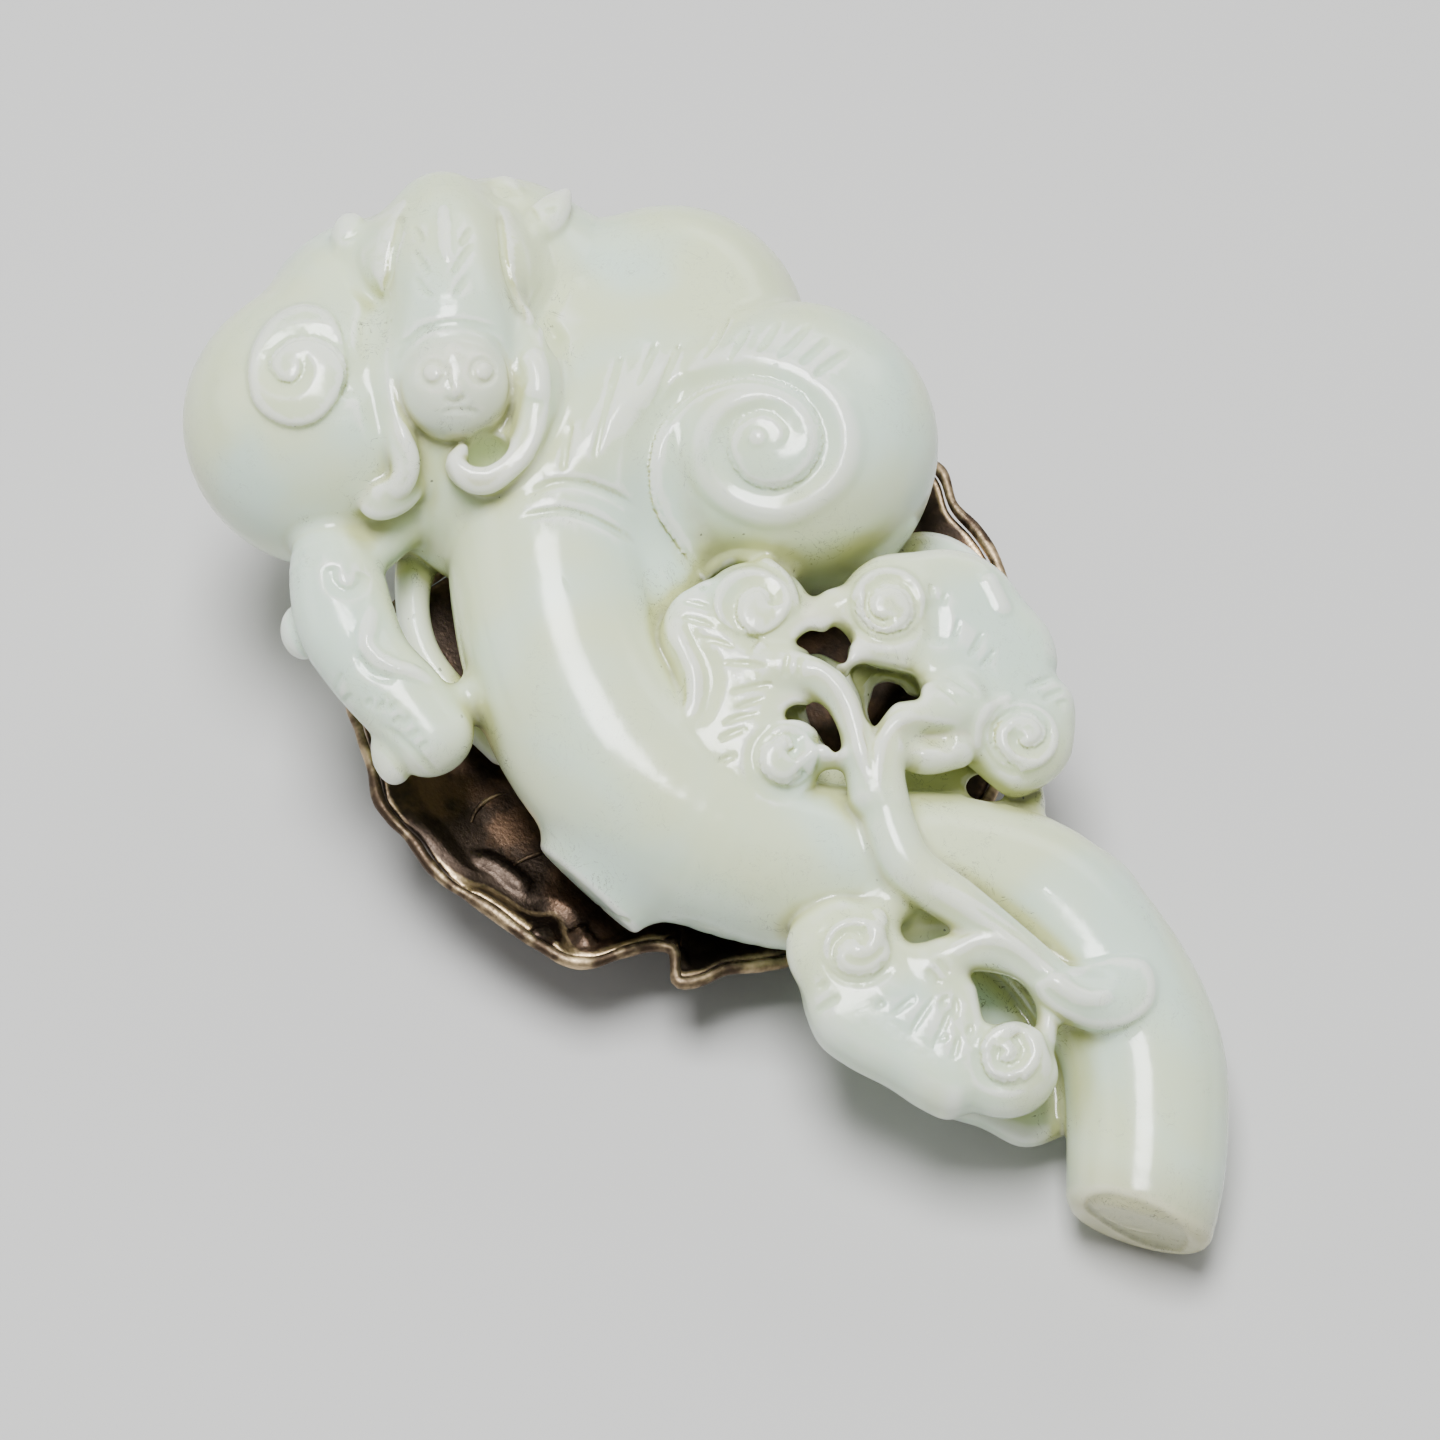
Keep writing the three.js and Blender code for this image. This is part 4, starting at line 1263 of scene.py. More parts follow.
@dataclass(frozen=True)
class Bat:
    """The bat that lies on the cap with its wings swept down beside its head."""

    yaw: float = math.atan2(-0.503, 0.863)
    back: Rows = (
        (-52.2, 6.2, 19.2, 4.2, 4), (-49.2, 4.6, 20.7, 4.3, 4.2), (-46.2, 2.6, 21.4, 4.6, 4.4),
        (-42, 0, 21.8, 5.2, 4.4), (-39, -2, 21.6, 5.6, 4), (-37.2, -3.2, 21.0, 5.8, 3.6))
    rump: Row = (-47.2, 3.1, 17.2, 7.8, 9.6, 6.6)
    head: Row = (-35.6, -4.3, 21.7, 4.8, 4.8, 4.3)
    wing_left: Rows = (
        (404, 296, 20.9, 1.7, 1.5), (388, 330, 21, 1.8, 1.5), (383, 362, 20.9, 1.7, 1.5),
        (386, 396, 20.7, 1.6, 1.5), (395, 427, 20.2, 1.5, 1.5), (404, 455, 19.5, 1.3, 1.5),
        (404, 474, 18.8, 1.1, 1.4), (396, 487, 18.2, 0.9, 1.2), (382, 494, 17.7, 0.7, 1.0))
    wing_right: Rows = (
        (496, 312, 21.2, 1.8, 1.8), (512, 334, 21.3, 2.2, 1.9), (528, 356, 21.3, 2.6, 1.9),
        (535, 380, 21.3, 2.6, 1.9), (538, 406, 21, 2.2, 1.9), (531, 435, 20.6, 1.7, 1.8),
        (515, 462, 20.2, 1.35, 1.7), (490, 480, 20, 1.1, 1.6), (468, 478, 20, 1.0, 1.5),
        (456, 465, 20, 0.95, 1.4), (462, 454, 20, 0.8, 1.2))
    wing_end: Row = (392, 496, 16.9, 1.9, 3.0, 1.3)
    chin_pit: Row = (489, 456, 19.4, 1.8, 1.8, 3.2)
    ears: Rows = ((352, 243, 19.4, 3.0, 1.9, 1.9), (504, 196, 18.9, 1.9, 1.9, 1.6))
    haunches: tuple[Rows, ...] = (
        ((405, 201), (383, 210), (366, 224), (358, 246), (360, 269), (369, 289), (381, 295),
         (389, 278), (396, 246), (403, 215)),
        ((500, 205), (515, 208), (532, 223), (548, 246), (553, 269), (550, 291), (541, 309),
         (530, 324), (520, 312), (509, 282), (503, 241)))
    leaf: Rows = (
        (532, 241, 20, 1.1, 1.1), (544, 223, 20.3, 1.8, 1.2), (555, 208, 20, 1.5, 1.1),
        (565, 196, 19.4, 0.6, 0.8))
    troughs: tuple[Rows, ...] = (
        ((352, 258), (364, 283), (376, 302), (372, 330), (368, 362), (372, 396), (382, 428),
         (391, 455)),
        ((560, 262), (553, 290), (542, 318), (553, 340), (561, 370), (561, 405), (552, 440),
         (536, 470)))
    side_lines: tuple[Rows, ...] = (
        ((401, 212), (397, 235), (391, 255), (389, 275), (379, 301)),
        ((497, 209), (502, 232), (504, 255), (509, 278), (519, 301), (529, 324)))
    herringbone: tuple[Rows, ...] = (
        ((413, 226), (423, 242)), ((413, 250), (420, 260), (430, 273)),
        ((414, 276), (423, 288), (433, 297)), ((471, 228), (460, 246)),
        ((472, 243), (461, 260), (451, 275)), ((468, 275), (454, 295)))
    spine: Rows = ((443, 205), (444, 225), (445, 245), (449, 262))
    collar: Rows = (
        (391, 345), (408, 341), (423, 329), (443, 322), (468, 322), (489, 328), (503, 332))
    brow: Rows = (
        (398, 374), (401, 355), (414, 337), (434, 327), (457, 325), (483, 332), (500, 347),
        (509, 365), (510, 390), (503, 413))
    eyes: Rows = ((432, 373), (484, 371))
    eye_reach: float = 12.0
    nose: Row = (457, 389, 5, 7)
    nose_side: Rows = ((447, 361), (448, 380), (453, 393))
    nostril: Rows = ((444, 396), (450, 402), (457, 403), (466, 395))
    mouth: Rows = ((441, 415), (448, 411), (460, 410), (471, 411), (481, 415))
    forehead: Row = (453, 349, 9)
    left_crest: Rows = ((397, 413), (405, 436), (414, 454), (415, 473), (405, 490), (385, 496))
    right_crest: Rows = ((522, 349), (534, 361), (539, 381), (534, 404))
    hook_crest: Rows = (
        (546, 413), (537, 436), (526, 458), (509, 476), (491, 489), (474, 490), (460, 481),
        (454, 470), (460, 458))
    ear_lines: tuple[Rows, ...] = (
        ((342, 239), (354, 235), (359, 232)), ((545, 213), (556, 207)), ((530, 208), (540, 222)))

    def block(self, stone: Stone) -> None:
        """Join the bat's forms to the stone.

        Args:
            stone: The block that is sculpted.
        """
        for ear in VIEW.spots(self.ears):
            stone.add(Ball(ear, self.yaw), 0.6)
        stone.add(Limb(VIEW.spots(self.leaf)), 0.5)
        stone.add(Ball(self.rump, self.yaw), 0.8)
        stone.add(Limb(self.back), 2.6)
        stone.add(Limb(VIEW.spots(self.wing_left)), 0.9)
        stone.add(Limb(VIEW.spots(self.wing_right)), 0.9)
        stone.add(Ball(VIEW.spots((self.wing_end,))[0]), 1.2)
        stone.add(Ball(self.head, self.yaw), 0.5)
        stone.cut(Ball(VIEW.spots((self.chin_pit,))[0]), 0.6)

    def carve(self, stone: Stone) -> None:
        """Draw the bat's lines.

        Args:
            stone: The block that is sculpted.
        """
        for marks in self.haunches:
            stone.draw(Patch(marks, 0.3, 1.0, 0.5))
        for line in self.troughs:
            stone.draw(Stroke(line, 1.6, 0.8, Taper.SOFT))
        for line in self.side_lines:
            stone.draw(Stroke(line, 0.55, 0.7, Taper.SOFT))
        for line in self.herringbone:
            stone.draw(Stroke(line, 0.45, 0.6, Taper.SPINDLE))
        stone.draw(Stroke(self.spine, 0.9, -0.45, Taper.SPINDLE),
                   Stroke(self.collar, 0.45, 0.45, Taper.SOFT),
                   Stroke(self.brow, 0.42, 0.45, Taper.SOFT))
        for x, y in self.eyes:
            eye = ring(x, y, self.eye_reach)
            stone.draw(Patch(ring(x, y, self.eye_reach * 0.7), 0.15, 0.5, 0.3),
                       Stroke((*eye, eye[0]), 0.4, 0.6, Taper.EVEN))
        x, y, across, down = self.nose
        stone.draw(Patch(ring(x, y, across, down), 0.25, 0.8, 0.2),
                   Patch(ring(*self.forehead), 0.15, 0.8, 0.15),
                   Stroke(self.nose_side, 0.33, 0.35, Taper.SOFT),
                   Stroke(self.nostril, 0.38, 0.65, Taper.SOFT),
                   Stroke(self.mouth, 0.38, 0.55, Taper.SOFT),
                   Stroke(self.left_crest, 0.9, -0.4, Taper.SOFT),
                   Stroke(self.right_crest, 1.5, -0.55, Taper.SOFT),
                   Stroke(self.hook_crest, 0.9, -0.4, Taper.SOFT))
        for line in self.ear_lines:
            stone.draw(Stroke(line, 0.35, 0.3, Taper.SPINDLE))


@dataclass(frozen=True)
class SmallHead:
    """A small fungus head: a leaning scalloped plate with a scroll at each end."""

    hub: Row
    rim: Rows
    top: float
    thick: float
    lean: Row
    scrolls: Rows
    grooves: tuple[Rows, ...]
    crests: tuple[Rows, ...]
    strokes: tuple[Rows, ...]
    rings: tuple[Rows, ...]
    discs: tuple[Rows, ...] = ()
    hollows: tuple[Rows, ...] = ()
    edge: float = 1.7
    crown: float = 0.7
    bite: float = 1.7

    def block(self, stone: Stone) -> None:
        """Join the plate and its scroll mounds to the stone.

        Args:
            stone: The block that is sculpted.
        """
        stone.add(Cushion(PlanLine(self.rim), self.hub, self.top, self.thick, self.lean,
                          self.edge, self.crown), 0.7)
        for u, v, w, reach in self.scrolls:
            stone.add(Ball((u, v, w - 1.9, reach, reach, 2.7)), 0.8)

    def carve(self, stone: Stone) -> None:
        """Draw the scrolls, the strokes and the rings where the twig joins.

        Args:
            stone: The block that is sculpted.
        """
        for disc in self.discs:
            stone.draw(Patch(disc, 0.55, 0.45))
        for line in self.crests:
            stone.draw(Stroke(line, 1.2, -0.6, Taper.SOFT))
        for line in self.hollows:
            stone.draw(Stroke(line, 1.5, 0.7, Taper.SOFT))
        for line in self.grooves:
            stone.draw(curl(line, self.bite, 0.5, 0.5 + self.bite * 0.36, Taper.EVEN))
        for line in self.strokes:
            stone.draw(Stroke(line, 0.4, 0.6, Taper.SPINDLE))
        for line in self.rings:
            stone.draw(Stroke(line, 0.38, 0.5, Taper.SOFT))


HEAD_LEFT = SmallHead(
    hub=(-0.6, 0.4),
    rim=((-10, 3.4), (-10.2, 1), (-9.2, -1.2), (-7.4, -2.8), (-5, -3.4), (-2.6, -4.5),
         (0.2, -6.2), (3.1, -6.8), (6.6, -5.8), (9.4, -3.2), (9.6, 0.6), (6, 3.6),
         (2.4, 5.8), (0.4, 7.4), (-4, 9.4), (-8.4, 7.6)),
    top=17.6, thick=4.6, lean=(-0.04, 0.05),
    scrolls=((-5.4, 6.2, 17.4, 4.9), (6.6, -1.4, 17, 4)),
    grooves=(
        ((771, 605), (770, 595), (763, 588), (753, 587), (743, 593), (737, 605), (738, 619),
         (747, 631), (761, 639)),
        ((786, 753), (792, 747), (792, 739), (783, 735), (773, 739), (763, 745), (759, 757),
         (762, 771), (773, 781), (786, 784), (798, 778), (805, 768))),
    discs=(ring(752, 601, 38, 34), ring(786, 757, 31, 30)),
    hollows=(((683, 615), (689, 635), (699, 650), (708, 666), (710, 683), (704, 701),
              (696, 718), (693, 731)),),
    crests=(
        ((701, 595), (703, 583), (710, 571), (726, 561), (746, 557), (763, 561), (778, 572),
         (788, 586), (791, 599), (786, 609), (775, 613), (767, 609)),
        ((771, 744), (772, 737), (777, 730), (789, 727), (804, 729), (817, 740), (824, 753),
         (824, 767)),
        ((673, 615), (677, 632), (686, 649), (693, 666), (696, 683), (695, 701), (689, 718),
         (687, 735))),
    strokes=(
        ((682, 617), (697, 620), (713, 626)), ((689, 636), (709, 639), (735, 647)),
        ((721, 663), (743, 663), (766, 665)), ((730, 692), (752, 687), (773, 683)),
        ((735, 708), (749, 703), (763, 698)), ((723, 724), (740, 717), (759, 713)),
        ((719, 739), (733, 733), (747, 727)), ((717, 762), (728, 758), (737, 754)),
        ((684, 602), (697, 604), (712, 609)), ((699, 587), (707, 588))),
    rings=(((789, 654), (786, 666), (786, 678)), ((802, 656), (799, 666), (799, 678))))

HEAD_RIGHT = SmallHead(
    hub=(10, 18.6),
    rim=(
        (-1.8, 21.2), (-0.6, 23.8), (1.4, 25.9), (4, 26.9), (7, 26.9), (10, 27.1), (12.7, 26.1),
        (14, 24.9), (16, 25), (18, 23.8), (20.2, 21.2), (20.9, 18.2), (20.2, 15), (16.4, 13.6),
        (12.6, 12.8), (7.6, 13.4), (3.6, 11.4), (-0.8, 12.4), (-3.2, 16.8)),
    top=16.4, thick=4.8, lean=(-0.14, -0.1), bite=1.4,
    scrolls=((1.1, 16.4, 17.6, 4.7), (16.9, 18.4, 15.4, 4.3)),
    grooves=(
        ((858, 595), (856, 609), (864, 623), (881, 632), (898, 631), (911, 622), (915, 609),
         (910, 595), (901, 586), (889, 583), (876, 588), (870, 599), (871, 612), (881, 619),
         (893, 617)),
        ((1025, 733), (1019, 741), (1026, 747), (1039, 744), (1046, 733), (1040, 719),
         (1025, 712), (1007, 716), (996, 729), (997, 747), (1009, 762), (1025, 770))),
    discs=(ring(888, 603, 37, 36), ring(1022, 737, 36, 34)),
    hollows=(((927, 595), (934, 609), (937, 626), (937, 649)),
             ((898, 741), (916, 735), (938, 738), (959, 741))),
    crests=(((983, 752), (980, 735), (986, 717), (1002, 705), (1019, 701)),
            ((982, 571), (992, 586), (1000, 602), (1007, 619))),
    strokes=(
        ((959, 618), (956, 632), (951, 647)), ((983, 631), (976, 645), (968, 658)),
        ((994, 650), (988, 659), (980, 667)), ((946, 592), (943, 606)), ((931, 583), (933, 597)),
        ((1053, 676), (1040, 682), (1025, 686)), ((1064, 689), (1053, 694), (1042, 699)),
        ((1068, 701), (1056, 704))),
    rings=(((944, 674), (961, 683), (979, 696)), ((937, 683), (951, 694), (964, 705))))

HEAD_LOWER = SmallHead(
    hub=(31.2, -4.6),
    rim=(
        (18.8, -6.8), (20.2, -9.2), (22.6, -10.4), (25.1, -11.6), (27.8, -12.2), (30.7, -11.4),
        (34.1, -9.8), (36.9, -8.8), (39.1, -7.5), (40, -5.2), (42, -3), (42.8, -0.8), (42, 1.6),
        (38.8, 2.6), (35, 0.4), (30.8, 0.8), (26.6, -1.2), (22.6, -2), (19.2, -3.8)),
    top=14, thick=4.6, lean=(-0.07, 0.1), bite=1.1,
    scrolls=((22.7, -6.2, 14.2, 4.6), (38.6, -1.6, 13.4, 4.1)),
    grooves=(
        ((857, 944), (861, 939), (857, 935), (846, 936), (837, 945), (834, 958), (841, 971),
         (856, 976), (874, 973), (888, 961)),
        ((1003, 1048), (999, 1058), (1006, 1063), (1016, 1058), (1020, 1047), (1013, 1036)),
        ((982, 1048), (982, 1062), (989, 1076), (1001, 1082), (1015, 1081), (1023, 1076))),
    discs=(ring(857, 949, 33, 32), ring(1010, 1054, 30, 30)),
    crests=(
        ((868, 908), (877, 917), (878, 929), (872, 942), (861, 949), (850, 946), (849, 941)),
        ((998, 1043), (1003, 1031), (1016, 1025), (1031, 1032), (1040, 1048), (1041, 1065),
         (1035, 1080))),
    strokes=(
        ((816, 1012), (827, 1004), (839, 996)), ((894, 1014), (905, 1004), (916, 996)),
        ((910, 1034), (922, 1015), (935, 997)), ((940, 1008), (944, 1001), (949, 996)),
        ((933, 1048), (943, 1027), (952, 1007)), ((954, 1020), (956, 1007), (955, 996)),
        ((942, 1042), (947, 1033)), ((877, 1007), (884, 1001)), ((818, 989), (827, 982)),
        ((968, 1036), (972, 1024)), ((953, 1059), (959, 1036))),
    rings=(((937, 958), (944, 967), (950, 976)), ((927, 968), (934, 977), (941, 985))))


@dataclass(frozen=True)
class Branch:
    """The twig that grows along the stem and forks into the stalks of the heads."""

    main: Rows = (
        (39.4, 12, 12.5, 2.5, 1.7), (40, 9.8, 12.8, 2.7, 1.8), (38.6, 7.6, 13.1, 2.4, 1.9),
        (36, 6.2, 13.3, 2.1, 1.9), (32.8, 5.6, 13.6, 2, 1.9), (26, 3.8, 14.6, 2.1, 2),
        (20.7, 2.1, 15.6, 2.2, 2), (15.5, 3.7, 16.2, 2.1, 1.9), (12.6, 5.1, 16.5, 1.8, 1.8))
    left: Rows = (
        (868, 796, 16.2, 1.6, 1.9), (861, 762, 16.7, 1.55, 1.8), (853, 726, 17.1, 1.5, 1.8),
        (841, 700, 17.4, 1.55, 1.8), (822, 682, 17.6, 1.6, 1.8), (798, 671, 17.6, 1.7, 1.8),
        (770, 668, 17.2, 2.0, 1.8))
    right: Rows = (
        (884, 800, 16, 1.7, 1.9), (885, 768, 16.4, 1.6, 1.9), (894, 738, 16.8, 1.8, 1.8),
        (912, 718, 17, 2.1, 1.8), (940, 708, 16.8, 2.5, 1.8), (966, 700, 16.2, 2.9, 1.7))
    lower: Rows = (
        (37.7, 6.3, 13.2, 1.4, 1.5), (34, 5.4, 13.4, 1.5, 1.6), (31, 3.8, 13.6, 1.5, 1.7),
        (29.2, 1.6, 13.7, 1.7, 1.7), (28.4, -1.4, 13.4, 2.1, 1.7))
    bridges: tuple[Rows, ...] = (
        ((-1.2, 8.8, 16.2, 1.6, 1.6), (-1.6, 12, 16, 1.8, 1.7)),
        ((-6, 8.4, 13.4, 1.8, 1.8), (-9, 11.4, 13, 2, 2)),
        ((22.8, -3.2, 13, 1.7, 1.6), (21.4, 2.4, 13.2, 1.7, 1.6)))
    webs: tuple[Rows, ...] = (
        ((846, 666, 16.6, 0.9, 1.5), (868, 652, 16.4, 1.5, 1.6), (896, 650, 16.2, 1.9, 1.8)),
        ((900, 748, 15.8, 1.7, 1.7), (926, 755, 15.5, 1.7, 1.7), (956, 748, 15.2, 1.8, 1.6)),
        ((806, 758, 16.4, 0.9, 1.5), (834, 759, 16.6, 0.7, 1.5), (858, 757, 16.8, 0.8, 1.5)),
        ((1040, 998, 12.6, 1.3, 1.6), (1047, 1018, 12.4, 1.0, 1.5), (1045, 1040, 12.4, 0.9, 1.4)))
    shelf: Rows = (
        (770, 745), (778, 700), (800, 655), (850, 640), (930, 650), (1000, 705), (1040, 770),
        (1045, 815), (1000, 850), (900, 850), (830, 835), (790, 800))
    shelf_top: float = 10.4
    shelf_holes: tuple[Rows, ...] = (
        ((808, 704), (832, 710), (842, 738), (840, 756), (826, 754), (812, 730)),
        ((871, 697), (875, 686), (887, 682), (900, 686), (908, 695), (925, 700), (898, 706),
         (886, 714), (875, 726), (868, 712)),
        ((966, 786), (972, 777), (984, 774), (997, 777), (1006, 787), (1002, 799), (984, 801),
         (970, 796)))
    heads: tuple[SmallHead, ...] = (HEAD_LEFT, HEAD_RIGHT, HEAD_LOWER)
    windows: tuple[tuple[Rows, float, float], ...] = (
        (((796, 643), (809, 631), (824, 632), (835, 627), (847, 646), (846, 662), (841, 663),
          (824, 655)), 2.0, 22.0),
        (((786, 711), (795, 705), (809, 706), (821, 709), (831, 721), (838, 738), (837, 751),
          (831, 752), (819, 738), (808, 727), (795, 721), (786, 719)), 9.0, 22.0),
        (((851, 671), (861, 664), (878, 668), (898, 672), (914, 677), (920, 689), (919, 698),
          (907, 701), (893, 702), (881, 714), (874, 721), (868, 718), (860, 696)), 9.0, 22.0),
        (((982, 989), (990, 980), (1003, 977), (1019, 983), (1032, 998), (1036, 1010),
          (1033, 1020), (1021, 1022), (1009, 1021), (996, 1024), (985, 1021), (981, 1007)),
         7.0, 20.0))
    crest: Rows = (
        (918, 878), (944, 892), (971, 908), (1000, 928), (1029, 952), (1045, 969), (1063, 986),
        (1085, 998), (1106, 1000), (1120, 995))
    knob: Rows = (
        (1036, 984), (1058, 974), (1080, 965), (1100, 960), (1123, 957), (1146, 962), (1155, 981),
        (1152, 1005), (1133, 1022), (1107, 1030), (1080, 1025), (1058, 1013), (1042, 1000))
    knob_crest: Rows = ((1048, 974), (1064, 988), (1082, 997), (1100, 998), (1116, 990))
    lines: tuple[Rows, ...] = (
        ((962, 898), (985, 913), (1015, 933), (1044, 957), (1069, 977)),
        ((873, 793), (872, 760), (868, 740), (862, 722)))
    arcs: tuple[Rows, ...] = (
        ((948, 957), (962, 946), (985, 939), (1010, 945), (1040, 963)),
        ((785, 663), (801, 668), (818, 669), (832, 678), (842, 692), (850, 709), (855, 727),
         (860, 747), (867, 770), (873, 793)),
        ((875, 795), (875, 770), (880, 747), (890, 727), (904, 718), (921, 715)))

    def block(self, stone: Stone) -> None:
        """Join twigs, bridges and heads to the stone, and bore the windows.

        Args:
            stone: The block that is sculpted.
        """
        rim = VIEW.spots(tuple((*mark, self.shelf_top) for mark in self.shelf))
        stone.add(Cushion(PlanLine(tuple(spot[:2] for spot in rim)), rim[0][:2],
                          self.shelf_top, 2.4, (0, 0), 1.0, 0.3), 0.8)
        for marks in self.shelf_holes:
            stone.cut(Window(marks, 1.0, 12.0), 0.6)
        for head in self.heads:
            head.block(stone)
        for rows in self.bridges:
            stone.add(Limb(rows), 1.6)
        for rows in self.webs:
            stone.add(Limb(VIEW.spots(rows)), 1.0)
        for rows in (self.main, VIEW.spots(self.left), VIEW.spots(self.right), self.lower):
            stone.add(Limb(rows), 1.0)
        for marks, floor, roof in self.windows:
            stone.cut(Window(marks, floor, roof), 0.8)

    def carve(self, stone: Stone) -> None:
        """Draw the crests and parting lines of the twigs, and the heads' carving.

        Args:
            stone: The block that is sculpted.
        """
        stone.draw(Stroke(self.crest, 1.2, -0.45, Taper.SOFT),
                   Patch(self.knob, 0.5, 0.7),
                   Stroke(self.knob_crest, 0.9, -0.35, Taper.SOFT))
        for line in self.arcs:
            stone.draw(Stroke(line, 0.9, -0.4, Taper.SOFT))
        for line in self.lines:
            stone.draw(Stroke(line, 0.6, 0.4, Taper.SOFT))
        for head in self.heads:
            head.carve(stone)


@dataclass(frozen=True)
class Bud:
    """The bud beside the stem that is seen from its edge."""

    rows: Rows = (
        (-33.2, -19, 12.2, 3.4, 3.2), (-30.2, -20.6, 12.4, 4.1, 3.5),
        (-26, -22.4, 12.2, 4.3, 3.5), (-21.6, -23, 12, 3.9, 3.5), (-17.2, -22.6, 11.8, 3.9, 3.4),
        (-13.2, -22.4, 11.4, 3.7, 3.2))
    beads: Rows = ((-28.6, -25.2, 10, 2.6, 2, 2), (-14.8, -25.4, 10, 3.2, 1.9, 2.2))
    ties: tuple[Rows, ...] = (
        ((-30.6, -17, 12, 2, 2.2), (-32.2, -12, 12, 2.6, 2.6)),
        ((-15, -20, 11, 1.8, 2), (-14, -15, 10.5, 2, 2.2)))
    ridge: Rows = (
        (375, 600), (367, 625), (365, 643), (374, 657), (391, 667), (413, 674), (425, 681),
        (430, 692))
    arc: Rows = ((357, 650), (362, 666), (376, 677), (391, 680), (401, 679))
    notch: Rows = ((334, 566), (335, 577), (339, 585), (348, 588), (357, 583), (360, 572))
    fold: Rows = ((380, 724), (391, 731), (407, 744), (424, 762), (437, 776))
    hatch: tuple[Rows, ...] = (
        ((343, 673), (337, 681), (335, 691)), ((352, 694), (343, 702)), ((372, 699), (365, 706)),
        ((385, 700), (376, 711)), ((396, 702), (387, 711)), ((402, 716), (392, 724)),
        ((411, 716), (401, 726)), ((419, 730), (407, 738)), ((428, 742), (418, 749)))

    def block(self, stone: Stone) -> None:
        """Join the bud to the stone.

        Args:
            stone: The block that is sculpted.
        """
        for rows in self.ties:
            stone.add(Limb(rows), 1.5)
        stone.add(Limb(self.rows), 1.0)
        for bead in self.beads:
            stone.add(Ball(bead, Bat().yaw), 0.4)

    def carve(self, stone: Stone) -> None:
        """Draw the bud's ridge, folds and hatching.

        Args:
            stone: The block that is sculpted.
        """
        stone.draw(Stroke(self.ridge, 1.3, -0.7, Taper.SOFT, right=0.9),
                   Stroke(self.arc, 0.9, 0.35, Taper.SOFT, right=0.5),
                   Stroke(self.notch, 0.5, 0.5, Taper.EVEN, right=1.2),
                   Stroke(self.fold, 0.5, 0.45, Taper.SOFT))
        for line in self.hatch:
            stone.draw(Stroke(line, 0.38, 0.45, Taper.SPINDLE))


@dataclass(frozen=True)
class Underside:
    """The plainer growth below: twigs and scalloped plates."""

    twigs: tuple[Rows, ...] = (
        ((-33, -9, 5.2, 2.4, 1.9), (-28.6, -13.6, 5, 1.6, 1.6), (-23.6, -16.2, 4.8, 1.5, 1.5),
         (-18, -16.6, 4.6, 1.7, 1.6), (-11.6, -15.4, 4.6, 2.2, 1.7)),
        ((1, 3, 5, 2.2, 1.8), (3.4, 10, 5, 1.8, 1.6), (3, 17, 5, 1.8, 1.6), (0, 24, 5, 2.4, 1.8)),
        ((16, 8, 4.8, 2, 1.7), (16.8, 13, 4.8, 1.6, 1.5), (15.6, 18, 4.8, 2, 1.7)))
    plates: tuple[tuple[Row, Rows, float, float], ...] = (
        ((-2, 27), ((-7.4, 26.6), (-5.4, 29.6), (-1.4, 31), (3.4, 30), (5.8, 26),
                    (3.4, 22.6), (-1, 21.6), (-5.4, 22.6)), 6.6, 3),
        ((37, 2.4), ((33, -4.4), (37, -5.2), (40.2, -3.2), (43.6, -1.4), (44.8, 1.6),
                     (44.8, 6), (43, 12), (36, 14), (29, 12), (28.6, 4)), 5.2, 3.2),
        ((1.6, -1.4), ((-4.6, -2.6), (-1, -6), (4, -6.6), (8.6, -3.4), (8.6, 1.6),
                       (4.4, 5.4), (-1, 6.4), (-5, 3)), 6.6, 3))

    def block(self, stone: Stone) -> None:
        """Join the growth to the stone.

        Args:
            stone: The block that is sculpted.
        """
        for rows in self.twigs:
            stone.add(Limb(rows), 1.0)
        for hub, rim, top, thick in self.plates:
            stone.add(Cushion(PlanLine(rim), hub, top, thick, (0, 0), 1.2, 0.4), 0.8)


# Finishes

